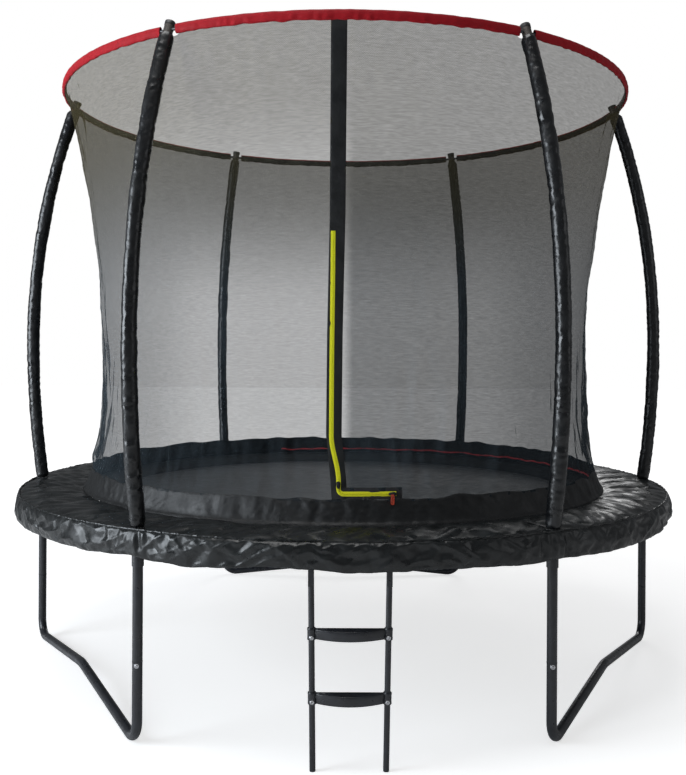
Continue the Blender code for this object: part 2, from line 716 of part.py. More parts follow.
def zip_strip(stations):
    """A flat tape through stations of (one edge, other edge), each (x, height)."""
    rings = []
    for first, second in stations:
        back = ZIP_GAP
        front = ZIP_GAP + ZIP_THICKNESS
        rings.append(
            [
                net_face_point(*first, back),
                net_face_point(*second, back),
                net_face_point(*second, front),
                net_face_point(*first, front),
            ]
        )
    points, faces = loft(rings)
    last = len(points) - 4
    faces.append((3, 2, 1, 0))
    faces.append((last, last + 1, last + 2, last + 3))
    return points, faces


def build_zip():
    """Yellow tapes in an L: one body, upright run and level run sharing a mitred corner."""
    half = ZIP_WIDTH / 2
    low = BAND_TOP + ZIP_ABOVE_BAND
    heights = [height for height in net_heights() if low + half < height < ZIP_TOP_HEIGHT]
    stations = [((ZIP_END_X, low - half), (ZIP_END_X, low + half))]
    corner = zip_x_at(low)
    turns = range(RING_SIDES // 4, -RING_SIDES // 4, -1)
    edges = [net_row_radius(low) * sin(radians(turn * CORNER_PITCH)) for turn in turns]
    folds = [x for x in edges if corner + half < x < ZIP_END_X - half]
    stations += [((x, low - half), (x, low + half)) for x in folds]
    stations += [((corner - half, low - half), (corner + half, low + half))]
    for height in heights + [ZIP_TOP_HEIGHT]:
        middle = zip_x_at(height)
        stations += [((middle - half, height), (middle + half, height))]
    points, faces = zip_strip(stations)
    add_node("zip_tape", mesh_from("zip_tape", points, faces), ZIP_TAPE)

    side_slider = add_node("zip_slider_side", slider_mesh("zip_slider_side"), BLACK_PLASTIC)
    rest = side_slider_rest()
    side_slider.location = rest
    side_slider.rotation_euler = (-side_slider_lean(), 0.0, 0.0)

    base_slider = add_node("zip_slider_base", slider_mesh("zip_slider_base"), BLACK_PLASTIC)
    base_slider.location = base_slider_rest()
    base_slider.rotation_euler = (0.0, radians(90.0), base_turn())

    pull = add_node("zip_pull", pull_mesh(), RED_PLASTIC)
    pull.location = pull_pivot()
    pull.rotation_euler = (0.0, 0.0, base_turn())


def slider_mesh(name):
    """Small block with a tapered nose, standing along its own Z, its back face at Y = 0."""
    half_width = SLIDER_WIDTH / 2
    half_length = SLIDER_LENGTH / 2
    outline = [
        (-half_width, half_length),
        (-half_width * SLIDER_NOSE_SHARE, -half_length),
        (half_width * SLIDER_NOSE_SHARE, -half_length),
        (half_width, half_length),
    ]
    points = [Vector((x, 0.0, z)) for x, z in outline]
    for x, z in outline:
        face = (x * SLIDER_FACE_SHARE, -SLIDER_THICKNESS, z * SLIDER_FACE_LENGTH_SHARE)
        points.append(Vector(face))
    faces = [(3, 2, 1, 0), (4, 5, 6, 7)]
    faces += [(side, (side + 1) % 4, (side + 1) % 4 + 4, side + 4) for side in range(4)]
    return mesh_from(name, points, faces, CRISP_BELOW)


def slider_offset():
    return ZIP_GAP + ZIP_THICKNESS + SKIN * 2


def side_slider_rest():
    """Foot of the upright run, just over the corner of the L."""
    height = BAND_TOP + ZIP_ABOVE_BAND + ZIP_WIDTH + SLIDER_LENGTH / 2
    return net_face_point(zip_x_at(height), height, slider_offset() + SLIDER_ROOM)


def side_slider_lean():
    """Lean of the net's face at the slider's place."""
    rest = side_slider_rest()
    above = net_face_point(rest.x, rest.z + SLIDER_LENGTH / 2, 0.0)
    below = net_face_point(rest.x, rest.z - SLIDER_LENGTH / 2, 0.0)
    return atan2(above.y - below.y, above.z - below.z)


def base_slider_rest():
    """Closed end of the level run."""
    height = BAND_TOP + ZIP_ABOVE_BAND
    return net_face_point(ZIP_END_X - SLIDER_LENGTH / 2, height, slider_offset() + SLIDER_ROOM)


def base_turn():
    """Turn of the net's face at the level run's closed end."""
    height = BAND_TOP + ZIP_ABOVE_BAND
    start = net_face_point(ZIP_END_X / 2, height, 0.0)
    end = net_face_point(ZIP_END_X, height, 0.0)
    return atan2(end.y - start.y, end.x - start.x)


def pull_pivot():
    """Eye on the front of the level slider, where the red pull hangs."""
    turn = base_turn()
    out = Vector((sin(turn), -cos(turn), 0.0))
    return base_slider_rest() + out * (SLIDER_THICKNESS + PULL_THICKNESS / 2 + SKIN)


def pull_mesh():
    """Tab that hangs from its own origin, rounded at its foot."""
    half = PULL_WIDTH / 2
    turns = [radians(turn) for turn in range(-180, 1, 30)]
    foot = [(half * cos(turn), -PULL_LENGTH + half + half * sin(turn)) for turn in turns]
    outline = [(-half, 0.0), *foot, (half, 0.0)]
    depth = PULL_THICKNESS / 2
    front = [Vector((x, -depth, z)) for x, z in outline]
    back = [Vector((x, depth, z)) for x, z in outline]
    count = len(outline)
    faces = [tuple(range(count)), tuple(range(2 * count - 1, count - 1, -1))]
    for side in range(count):
        turn = (side + 1) % count
        faces.append((side, side + count, turn + count, turn))
    return mesh_from("zip_pull", front + back, faces)


# -------------------------------------------------------------- mat and springs
def build_mat():
    """Mat with a thick sewn hem, turned about the axis; its foot is on the joint's line."""
    half = MAT_THICKNESS / 2
    hem = MAT_HEM_THICKNESS / 2
    edge = MAT_RADIUS - MAT_HEM_WIDTH
    profile = [(edge, half), (edge + hem, hem), (MAT_RADIUS, hem)]
    profile += [(MAT_RADIUS, -hem), (edge + hem, -hem), (edge, -half)]
    rings = []
    turns = [corner * CORNER_PITCH for corner in range(RING_SIDES)]
    for radius, height in profile:
        rings.append([on_ring(radius, turn, height) for turn in turns])
    points, faces = loft(rings)
    last = len(points) - RING_SIDES
    faces.append(tuple(range(RING_SIDES)))
    faces.append(tuple(range(last, last + RING_SIDES))[::-1])
    mat = add_node("jump_mat", mesh_from("jump_mat", points, faces), MAT_FABRIC)
    mat.location = (0.0, 0.0, FRAME_HEIGHT)


def build_springs():
    """All the springs in one body, joined by the hoop of rings along the mat's edge.

    Each spring has two sides, each with three places along it and two heights.
    """
    hoop = SPRING_INNER_RADIUS + SPRING_HOOP_WIDTH
    reaches = (SPRING_INNER_RADIUS, hoop, SPRING_OUTER_RADIUS)
    rise = Vector((0.0, 0.0, SPRING_THICKNESS / 2))
    points = []
    for number in range(SPRING_COUNT):
        along = on_ring(1.0, (number + 0.5) * 360.0 / SPRING_COUNT, 0.0)
        aside = Vector((-along.y, along.x, 0.0)) * (SPRING_WIDTH / 2)
        for side in (-aside, aside):
            for reach in reaches:
                points += [along * reach + side - rise, along * reach + side + rise]

    faces = []
    per_side = 2 * len(reaches)
    for number in range(SPRING_COUNT):
        left = number * 2 * per_side
        right = left + per_side
        after = (number + 1) % SPRING_COUNT * 2 * per_side
        for level in (0, 1):
            for inner in (level, level + 2):
                faces.append((left + inner, left + inner + 2, right + inner + 2, right + inner))
            faces.append((right + level, right + level + 2, after + level + 2, after + level))
        for side in (left, right):
            faces.append((side + 2, side + 3, side + 5, side + 4))
        faces.append((left + 4, left + 5, right + 5, right + 4))
        faces.append((left, left + 1, right + 1, right))
        faces.append((right, right + 1, after + 1, after))
        faces.append((right + 2, right + 3, after + 3, after + 2))
    mesh = mesh_from("spring_set", points, faces, CRISP_BELOW)
    springs = add_node("spring_set", mesh, ZINC_STEEL)
    springs.location = (0.0, 0.0, FRAME_HEIGHT)


# -------------------------------------------------------------------------- pad
def build_pad():
    """Pad over the springs, with a hole for each post, and the skirt that hangs from it."""
    profile = [
        (PAD_OUTER_RADIUS, PAD_TOP),
        (PAD_OUTER_RADIUS, PAD_BOTTOM),
        (PAD_INNER_RADIUS, PAD_BOTTOM),
        (PAD_INNER_RADIUS, PAD_TOP),
    ]
    plain = revolved("pad_plain", profile)
    cutters = []
    hole = SOCKET_RADIUS + PAD_HOLE_FIT
    across = Vector((0, 1, 0))
    for angle in POST_ANGLES:
        foot = on_ring(FRAME_RADIUS, angle, PAD_BOTTOM - BORE_PAST)
        head = on_ring(FRAME_RADIUS, angle, PAD_TOP + BORE_PAST)
        cutters.append(rod_mesh("pad_cutter", [foot, head], hole, PAD_HOLE_SIDES, across))
    add_node("safety_pad", cut_mesh("safety_pad", plain, cutters), BLACK_PVC)

    skirt_top = PAD_BOTTOM - SKIN
    skirt_profile = [
        (PAD_OUTER_RADIUS, skirt_top),
        (PAD_OUTER_RADIUS, SKIRT_BOTTOM),
        (PAD_OUTER_RADIUS - SKIRT_THICKNESS, SKIRT_BOTTOM),
        (PAD_OUTER_RADIUS - SKIRT_THICKNESS, skirt_top),
    ]
    add_node("pad_skirt", revolved("pad_skirt", skirt_profile), BLACK_PVC)


# ----------------------------------------------------------------------- ladder
def ladder_line():
    """Distance of the ladder's rails in front of the axis: straight under the frame rail."""
    return -sqrt(FRAME_RADIUS**2 - (LADDER_X + LADDER_HALF_TOP) ** 2)


def rail_x(side, height):
    top = FRAME_HEIGHT - TUBE_RADIUS - LADDER_TOP_GAP
    share = height / top
    return LADDER_X + side * (LADDER_HALF_FOOT + (LADDER_HALF_TOP - LADDER_HALF_FOOT) * share)


def ladder_rail_mesh(name, side):
    """Round side rail, closed at its foot and open at its top, with the hook's strap on it."""
    top = FRAME_HEIGHT - TUBE_RADIUS - LADDER_TOP_GAP
    inner = LADDER_RADIUS - LADDER_WALL
    outline = [(LADDER_RADIUS, 0.0), (LADDER_RADIUS, top), (inner, top), (inner, 2 * LADDER_WALL)]
    rings = []
    turns = [tau * (corner + 0.5) / LADDER_SIDES for corner in range(LADDER_SIDES)]
    for radius, height in outline:
        x = rail_x(side, height)
        y = ladder_line()
        rings.append([Vector((x + radius * cos(turn), y + radius * sin(turn), height)) for turn in turns])
    points, faces = loft(rings)
    last = len(points) - LADDER_SIDES
    faces.append(tuple(range(LADDER_SIDES))[::-1])
    faces.append(tuple(range(last, last + LADDER_SIDES)))
    tube = mesh_from(name, points, faces)
    return cut_mesh(name, tube, [hook_mesh(side)], "UNION")


def hook_mesh(side):
    """Flat strap from the rail's outer side up and over the frame rail."""
    line = ladder_line()
    bore = TUBE_RADIUS + RAIL_SAG + HOOK_FIT
    middle = bore + HOOK_THICKNESS / 2
    top = FRAME_HEIGHT - TUBE_RADIUS - LADDER_TOP_GAP
    strap = LADDER_RADIUS
    start = radians(180.0) + acos(strap / middle)
    finish = radians(HOOK_END_ANGLE)
    path = [Vector((0.0, line - strap, top - HOOK_TAIL))]
    for step in range(HOOK_STEPS + 1):
        turn = start + (finish - start) * step / HOOK_STEPS
        path.append(Vector((0.0, line + middle * cos(turn), FRAME_HEIGHT + middle * sin(turn))))
    x = rail_x(side, top)
    rings = []
    for index in range(len(path)):
        before = path[max(index - 1, 0)]
        after = path[min(index + 1, len(path) - 1)]
        along = (after - before).normalized()
        out = Vector((0.0, -along.z, along.y)) * (HOOK_THICKNESS / 2)
        half = Vector((HOOK_WIDTH / 2, 0.0, 0.0))
        place = path[index] + Vector((x, 0.0, 0.0))
        rings.append([place - half - out, place + half - out, place + half + out, place - half + out])
    points, faces = loft(rings)
    last = len(points) - 4
    faces.append((3, 2, 1, 0))
    faces.append((last, last + 1, last + 2, last + 3))
    return mesh_from("hook", points, faces, CRISP_BELOW)


def step_outline(top):
    """Front and back of a step seen from above, each as points (x, y)."""
    line = ladder_line()
    half = rail_x(1.0, top - STEP_HEIGHT / 2) - LADDER_X
    reach = half - LADDER_RADIUS / 2
    start = LADDER_RADIUS * STEP_FRONT_SHARE
    front = []
    for point in range(STEP_BOW_POINTS):
        share = -1.0 + 2.0 * point / (STEP_BOW_POINTS - 1)
        bow = (STEP_BOW - start) * (1.0 - share**2)
        front.append((LADDER_X + reach * share, line - start - bow))
    rear = line + LADDER_RADIUS * STEP_BACK_SHARE
    return front, [(LADDER_X + reach, rear), (LADDER_X - reach, rear)]


def prism_mesh(name, outline, bottom, top):
    """A flat outline of points (x, y) drawn up from one height to another."""
    rings = [[Vector((x, y, height)) for x, y in outline] for height in (bottom, top)]
    points, faces = loft(rings)
    count = len(outline)
    faces.append(tuple(range(count))[::-1])
    faces.append(tuple(range(count, 2 * count)))
    return mesh_from(name, points, faces, CRISP_BELOW)


def step_mesh(top):
    """Bowed tread with a turned-down front edge and a collar round each rail."""
    front, back = step_outline(top)
    foot = top - STEP_HEIGHT
    tread = prism_mesh("tread", front + back, foot, top)
    inner = [(x, y + STEP_WALL) for x, y in front] + [(x, y - STEP_WALL) for x, y in back]
    inner = [(LADDER_X + (x - LADDER_X) * STEP_HOLLOW_SHARE, y) for x, y in inner]
    hollow = prism_mesh("tread_hollow", inner, foot - BORE_PAST, top - STEP_WALL)
    shell = cut_mesh("tread_shell", tread, [hollow])

    line = ladder_line()
    across = Vector((0, 1, 0))
    bore = LADDER_RADIUS + STEP_FIT
    wide = bore / cos(pi / LADDER_SIDES)
    collars = []
    bores = []
    for side in (-1.0, 1.0):
        low = Vector((rail_x(side, foot), line, foot - COLLAR_PAST))
        high = Vector((rail_x(side, top), line, top + COLLAR_PAST))
        past = (high - low).normalized() * BORE_PAST
        ends = [low - past, high + past]
        collars.append(rod_mesh("collar", [low, high], bore + COLLAR_WALL, LADDER_SIDES, across))
        bores.append(rod_mesh("collar_bore", ends, wide, LADDER_SIDES, across))
    joined = cut_mesh("tread_collared", shell, collars, "UNION")
    return cut_mesh("ladder_step", joined, bores)


def build_ladder():
    """The ladder hangs on the front frame rail and turns about that rail's middle."""
    hinge = bpy.data.objects.new("ladder_hinge", None)
    bpy.context.scene.collection.objects.link(hinge)
    hinge.location = (LADDER_X, ladder_line(), FRAME_HEIGHT)
    pieces = []
    for name, side in (("ladder_rail_left", -1.0), ("ladder_rail_right", 1.0)):
        pieces.append(add_node(name, ladder_rail_mesh(name, side), BLACK_STEEL, hinge))
    for name, top in zip(("ladder_step_lower", "ladder_step_upper"), STEP_TOPS):
        pieces.append(add_node(name, step_mesh(top), BLACK_STEEL, hinge))
    for piece in pieces:
        piece.matrix_parent_inverse = Matrix.Translation(-hinge.location)


clear_scene()
build_frame()
build_legs()
build_poles()
build_top_ring()
build_net()
build_zip()
build_mat()
build_springs()
build_pad()
build_ladder()
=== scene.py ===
# %% [markdown]
# A round backyard trampoline, made ready to render.
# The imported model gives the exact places; this lesson builds the looks around it: round
# steel tubes, a fine net, crumpled covers and a woven mat, each with its own finish.

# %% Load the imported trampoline
from math import acos, atan2, cos, degrees, pi, radians, sin, sqrt, tau

import bpy
import numpy as np
from mathutils import Matrix, Vector


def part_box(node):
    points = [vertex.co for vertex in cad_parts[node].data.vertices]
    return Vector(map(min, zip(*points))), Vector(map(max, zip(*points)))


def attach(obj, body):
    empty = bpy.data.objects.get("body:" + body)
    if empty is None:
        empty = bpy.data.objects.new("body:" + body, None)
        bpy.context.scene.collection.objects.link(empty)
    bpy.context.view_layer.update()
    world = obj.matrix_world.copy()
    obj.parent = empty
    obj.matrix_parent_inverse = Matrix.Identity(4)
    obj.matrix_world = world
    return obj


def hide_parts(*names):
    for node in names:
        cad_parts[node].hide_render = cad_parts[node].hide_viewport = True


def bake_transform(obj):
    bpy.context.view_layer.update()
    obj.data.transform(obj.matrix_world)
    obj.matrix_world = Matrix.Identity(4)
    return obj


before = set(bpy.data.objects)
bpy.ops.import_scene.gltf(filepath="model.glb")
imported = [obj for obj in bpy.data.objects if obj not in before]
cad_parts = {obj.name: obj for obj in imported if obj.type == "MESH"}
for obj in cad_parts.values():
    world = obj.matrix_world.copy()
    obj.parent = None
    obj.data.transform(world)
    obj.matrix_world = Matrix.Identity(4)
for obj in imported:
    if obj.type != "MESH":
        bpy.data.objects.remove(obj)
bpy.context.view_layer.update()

# %% [markdown]
# Sizes come first. The trampoline is round, so nearly every piece is set by a radius and a
# height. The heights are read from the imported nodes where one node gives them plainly, and
# the rest repeat the maker's sizes in metres. The front, with ladder and zip, is at -Y.

# %% Main sizes
RAIL_LOW, RAIL_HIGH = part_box("frame_rail_1")
FRAME_HEIGHT = 0.5 * (RAIL_LOW.z + RAIL_HIGH.z)
FRAME_RADIUS = 1.506
ROD_LOW, ROD_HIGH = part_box("net_rod")
RING_HEIGHT = 0.5 * (ROD_LOW.z + ROD_HIGH.z)
RING_RADIUS = 1.353
POSTS = [60.0 * number for number in range(6)]
TUBE = 0.019
SOCKET = 0.0222
SOCKET_TOP = 0.790
SPLICE_HEIGHT = 0.31
POLE_WIDEST = (1.558, 1.48)
NET_TOP = (1.341, 2.6225)
NET_WAIST = (1.173, 1.35)
NET_FOLD = (1.241, 0.812)
BAND_TOP = 0.882
MAT_RADIUS = 1.165
PAD_IN = 1.252
PAD_LOW, PAD_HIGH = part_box("safety_pad")[0].z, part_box("safety_pad")[1].z
print(f"ring at {FRAME_HEIGHT:.3f} m, rod at {RING_HEIGHT:.3f} m, pad {PAD_LOW:.4f} to {PAD_HIGH:.4f} m")

# %% [markdown]
# Every surface here is a grid of points: rings along a tube, or rows up the net. Making
# the grid with numpy and joining neighbours into quads is quick and gives clean meshes.
# A second helper lays a UV map in real metres, so that a weave has its true size.

# %% Grid, mesh and piece helpers
def grid_faces(rows, columns, wrap=False):
    """Quads between neighbouring points of a grid, joined round its columns if wrapped."""
    last = columns if wrap else columns - 1
    row, column = np.meshgrid(np.arange(rows - 1), np.arange(last), indexing="ij")
    after = (column + 1) % columns
    quads = [row * columns + column, row * columns + after, (row + 1) * columns + after, (row + 1) * columns + column]
    return np.stack(quads, -1).reshape(-1, 4)


def mesh_of(name, points, faces, sharp=40.0):
    """A smooth-shaded mesh, with edges over the angle kept sharp and faces turned outwards."""
    mesh = bpy.data.meshes.new(name)
    mesh.from_pydata(np.asarray(points, float).reshape(-1, 3).tolist(), [], [tuple(map(int, face)) for face in faces])
    mesh.validate()
    mesh.shade_smooth()
    if sharp:
        mesh.set_sharp_from_angle(angle=radians(sharp))
    return mesh


print("a 3 x 4 grid has", len(grid_faces(3, 4)), "quads, and wrapped", len(grid_faces(3, 4, True)))

# %% Grids with a map in metres
def turned_out(faces):
    return [tuple(face)[::-1] for face in faces]


def grid_mesh(name, grid, wrap=False, sharp=40.0, caps=False, across=None, flip=False):
    """Mesh of a (rows, columns, 3) grid. across adds a UV map: (metres along u, metres along v)."""
    rows, columns = grid.shape[:2]
    faces = grid_faces(rows, columns, wrap).tolist()
    if caps:
        faces.append(list(range(columns))[::-1])
        faces.append(list(range((rows - 1) * columns, rows * columns)))
    if flip:
        faces = turned_out(faces)
    mesh = mesh_of(name, grid, faces, sharp)
    if across:
        layer = mesh.uv_layers.new(name="metres")
        corner = np.empty(len(mesh.loops), int)
        mesh.loops.foreach_get("vertex_index", corner)
        first = np.repeat([p.loop_start for p in mesh.polygons], [p.loop_total for p in mesh.polygons])
        column, row = corner % columns, corner // columns
        seam = wrap & (column == 0) & (corner[first] % columns == columns - 1)
        seam |= wrap & (column == 0) & (np.roll(corner, 1) % columns == columns - 1)
        seam |= wrap & (column == 0) & (np.roll(corner, -1) % columns == columns - 1)
        span = columns if wrap else columns - 1
        u = np.where(seam, columns, column) / span * across[0]
        v = row / (rows - 1) * across[1]
        layer.data.foreach_set("uv", np.stack([u, v], 1).ravel().astype(np.float32))
    return mesh


print("mesh helpers: mesh_of, grid_mesh")

# %% Pieces in the scene
def add_piece(name, mesh, finish, body="frame", stands_for=(), turn=0.0):
    """Puts a mesh in the scene as one named piece that moves with a body."""
    if turn:
        mesh = mesh.copy()
        mesh.transform(Matrix.Rotation(radians(turn), 4, "Z"))
    piece = bpy.data.objects.new(name, mesh)
    bpy.context.scene.collection.objects.link(piece)
    if not mesh.materials:
        mesh.materials.append(finish)
    if body:
        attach(piece, body)
    if stands_for:
        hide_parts(*stands_for)
    return piece


print("piece helper: add_piece")

# %% [markdown]
# Tubes are swept: a ring of points is carried along a path and kept square to it.
# A hollow tube returns along its inside, so that an open end shows a real wall.

# %% Sweep helpers
def frames_along(path):
    """Unit directions along a path, and two across it that turn as little as they can."""
    path = np.asarray(path, float)
    along = np.gradient(path, axis=0)
    along /= np.linalg.norm(along, axis=1, keepdims=True)
    start = np.array([0.0, 0.0, 1.0]) if abs(along[0, 2]) < 0.9 else np.array([1.0, 0.0, 0.0])
    side = np.empty_like(path)
    for index, way in enumerate(along):
        start = start - way * start.dot(way)
        start /= np.linalg.norm(start)
        side[index] = start
    return along, side, np.cross(along, side)


def swept(path, radius, sides=20):
    """Rings round a path. The radius is one number, one per ring, or one per point."""
    path = np.asarray(path, float)
    _, side, rise = frames_along(path)
    turn = np.arange(sides) / sides * tau
    radius = np.asarray(radius, float).reshape(-1, 1) if np.ndim(radius) < 2 else radius
    radius = np.broadcast_to(radius, (len(path), sides))
    ring = side[:, None] * np.cos(turn)[None, :, None] + rise[:, None] * np.sin(turn)[None, :, None]
    return path[:, None] + ring * radius[..., None]


def tube_mesh(name, path, radius, wall=0.0015, sides=20, depth=0.02):
    """A round tube with open ends: its rings turn in over the rim and run a little way inside."""
    path = np.asarray(path, float)
    outer = swept(path, radius, sides)
    inner = swept(path, radius - wall, sides)
    rim = 0.3 * wall
    soft = swept(path, radius - rim, sides)
    along = frames_along(path)[0]
    first, last = along[0] * depth, along[-1] * depth
    rows = [inner[:1] + first, inner[:1], soft[:1], outer[:1] + along[0] * rim, outer[1:-1]]
    rows += [outer[-1:] - along[-1] * rim, soft[-1:], inner[-1:], inner[-1:] - last]
    return grid_mesh(name, np.concatenate(rows), wrap=True, caps=True)


print("sweep helpers: frames_along, swept, tube_mesh")

# %% Turned and joined meshes
def lathe_mesh(name, profile, sides=24, flip=False):
    """A profile of (radius, height) turned about Z."""
    turn = np.arange(sides) / sides * tau
    profile = np.asarray(profile, float)
    heights = np.repeat(profile[:, 1:], sides, 1)
    grid = np.stack([profile[:, :1] * np.cos(turn), profile[:, :1] * np.sin(turn), heights], -1)
    return grid_mesh(name, grid, wrap=True, caps=True, flip=flip)


def joined(name, meshes, places=None):
    """Several meshes, each at its own place, as one mesh."""
    points, faces, count = [], [], 0
    for index, mesh in enumerate(meshes):
        co = np.empty(len(mesh.vertices) * 3)
        mesh.vertices.foreach_get("co", co)
        co = co.reshape(-1, 3)
        if places:
            place = np.array(places[index])
            co = co @ place[:3, :3].T + place[:3, 3]
        points.append(co)
        faces += [[count + corner for corner in polygon.vertices] for polygon in mesh.polygons]
        count += len(co)
    return mesh_of(name, np.concatenate(points), faces)


print("mesh helpers: lathe_mesh, joined")

# %% Places round the axis, ripples and easing
def around(radius, angle, height):
    """Points on a circle about the trampoline's axis; any of the values may be an array."""
    radius, angle, height = np.broadcast_arrays(radius, np.radians(angle), height)
    return np.stack([radius * np.cos(angle), radius * np.sin(angle), height], -1)


def ripple(points, size, seed, count=28):
    """A smooth, repeatable bumpy field over the points, about from -2 to 2."""
    rng = np.random.default_rng(seed)
    ways = rng.normal(size=(count, 3))
    ways *= (tau / size * rng.uniform(0.55, 1.5, count) / np.linalg.norm(ways, axis=1))[:, None]
    return np.sin(np.asarray(points) @ ways.T + rng.uniform(0, tau, count)).sum(-1) * sqrt(2 / count)


def smooth_step(values, low, high):
    share = np.clip((np.asarray(values, float) - low) / (high - low), 0, 1)
    return share * share * (3 - 2 * share)


print("easing from 0 to 1, a quarter of the way:", round(float(smooth_step(0.25, 0, 1)), 3))

# %% [markdown]
# Finishes are node materials. A handful of helpers keeps each one short: noise and weave
# give a pattern of real size, a ramp turns it into colour or roughness, and a bump gives
# relief too fine to model.

# %% Material helpers
def set_values(material, values):
    """Plain numbers for the shader's own sockets."""
    for socket, value in values.items():
        material.node_tree.nodes["Principled BSDF"].inputs[socket].default_value = value


def start_finish(name, colour, roughness, metallic=0.0):
    material = bpy.data.materials.new(name)
    material.use_nodes = True
    set_values(material, {"Base Color": (*colour, 1.0), "Roughness": roughness, "Metallic": metallic})
    return material


def add_node(material, kind, inputs=None, **settings):
    made = material.node_tree.nodes.new(kind)
    for key, value in settings.items():
        setattr(made, key, value)
    for socket, value in (inputs or {}).items():
        if isinstance(value, bpy.types.NodeSocket):
            material.node_tree.links.new(value, made.inputs[socket])
        else:
            made.inputs[socket].default_value = value
    return made


def feed(material, output, socket):
    shader = material.node_tree.nodes["Principled BSDF"]
    material.node_tree.links.new(output, shader.inputs[socket])


print("material helpers: start_finish, set_values, add_node, feed")

# %% Patterns of real size
def places(material, stretch=(1.0, 1.0, 1.0), source="Object"):
    coords = add_node(material, "ShaderNodeTexCoord").outputs[source]
    return add_node(material, "ShaderNodeMapping", {"Vector": coords, "Scale": stretch}).outputs[0]


def speckle(material, size, detail=4.0, stretch=(1.0, 1.0, 1.0), kind="FBM", distortion=0.0, source="Object"):
    """Noise with spots of this size in metres, from 0 to 1."""
    inputs = {"Vector": places(material, stretch, source), "Scale": 1.0 / size, "Detail": detail}
    inputs["Distortion"] = distortion
    return add_node(material, "ShaderNodeTexNoise", inputs, noise_type=kind).outputs["Fac"]


def calc(material, operation, first, second=0.0, third=0.0):
    return add_node(material, "ShaderNodeMath", {0: first, 1: second, 2: third}, operation=operation).outputs[0]


def remap(material, value, low, high, to_low, to_high):
    inputs = {"Value": value, "From Min": low, "From Max": high, "To Min": to_low, "To Max": to_high}
    return add_node(material, "ShaderNodeMapRange", inputs, interpolation_type="SMOOTHSTEP").outputs[0]


print("pattern helpers: places, speckle, calc, remap")

# %% Colours, weave and relief
def between(material, share, first, second):
    """Mix of two colours by a share from 0 to 1."""
    node = add_node(material, "ShaderNodeMix", data_type="RGBA")
    for socket, value in ((0, share), (6, first), (7, second)):
        if isinstance(value, bpy.types.NodeSocket):
            material.node_tree.links.new(value, node.inputs[socket])
        elif socket == 0:
            node.inputs[0].default_value = value
        else:
            node.inputs[socket].default_value = (*value, 1.0)
    return node.outputs[2]


def weave(material, pitch, source="UV"):
    """Plain weave: threads of this pitch in metres go over and under, from 0 to 1."""
    split = add_node(material, "ShaderNodeSeparateXYZ", {0: places(material, source=source)})
    waves = [calc(material, "SINE", calc(material, "MULTIPLY", split.outputs[axis], pi / pitch)) for axis in (0, 1)]
    return calc(material, "MULTIPLY_ADD", calc(material, "MULTIPLY", *waves), 0.5, 0.5)


def relief(material, height, depth, under=None, strength=1.0):
    """Bump of this depth in metres; under is a coarser bump below it."""
    inputs = {"Height": height, "Distance": depth, "Strength": strength}
    if under:
        inputs["Normal"] = under
    return add_node(material, "ShaderNodeBump", inputs).outputs[0]


print("relief helpers: between, weave, relief")

# %% [markdown]
# Steel: the ring and springs are galvanised, so they show soft grey patches. Legs and
# ladder are powder coated, black with a faint orange-peel skin that blurs the highlights
# a little. The bare ends of the poles are grey steel with drawn lines along them.

# %% Steel finishes
def steel_finish(name, colour, roughness, metallic, peel, patch):
    finish = start_finish(name, colour, roughness, metallic)
    cloud = speckle(finish, patch, 5.0)
    darker = tuple(0.62 * part for part in colour)
    feed(finish, between(finish, remap(finish, cloud, 0.3, 0.7, 0.0, 1.0), darker, colour), "Base Color")
    smear = speckle(finish, 0.03, 6.0)
    feed(finish, remap(finish, smear, 0.3, 0.75, roughness * 0.75, roughness * 1.35), "Roughness")
    coarse = relief(finish, speckle(finish, 0.004, 2.0), peel)
    feed(finish, relief(finish, speckle(finish, 0.0012, 2.0, (1, 1, 0.1)), peel * 0.25, coarse), "Normal")
    return finish


ZINC = steel_finish("zinc_coat", (0.50, 0.51, 0.53), 0.38, 0.9, 0.00006, 0.012)
BLACK_STEEL = steel_finish("black_powder_coat", (0.022, 0.024, 0.030), 0.34, 0.0, 0.00025, 0.05)
set_values(BLACK_STEEL, {"Coat Weight": 0.35, "Coat Roughness": 0.22})
GREY_STEEL = steel_finish("bare_pole_steel", (0.135, 0.118, 0.108), 0.48, 0.45, 0.00005, 0.02)
SCREW_STEEL = steel_finish("screw_steel", (0.68, 0.68, 0.70), 0.25, 0.95, 0.00003, 0.004)
print("steel finishes:", ZINC.name, BLACK_STEEL.name, GREY_STEEL.name, SCREW_STEEL.name)

# %% [markdown]
# The covers are thin PVC: black, shiny and full of small creases. A ridged noise makes
# crease lines like those of crumpled sheet, and a much finer noise stands for the woven
# backing that shows through. The pole sleeves use a finer crease than the wide pad.

# %% Cover finishes
def cover_finish(name, colour, crease, depth, gloss):
    finish = start_finish(name, colour, gloss)
    set_values(finish, {"Specular IOR Level": 0.5, "Coat Weight": 0.12, "Coat Roughness": 0.16})
    dust = remap(finish, speckle(finish, 0.09, 5.0), 0.42, 0.75, 0.0, 1.0)
    feed(finish, between(finish, dust, colour, tuple(1.8 * part + 0.002 for part in colour)), "Base Color")
    feed(finish, remap(finish, speckle(finish, 0.05, 5.0), 0.3, 0.7, gloss * 0.7, gloss * 1.6), "Roughness")
    folds = relief(finish, speckle(finish, crease, 4.0, kind="RIDGED_MULTIFRACTAL", distortion=0.8), depth)
    cloth = relief(finish, speckle(finish, 0.0022, 1.0), 0.00012, folds)
    feed(finish, cloth, "Normal")
    return finish


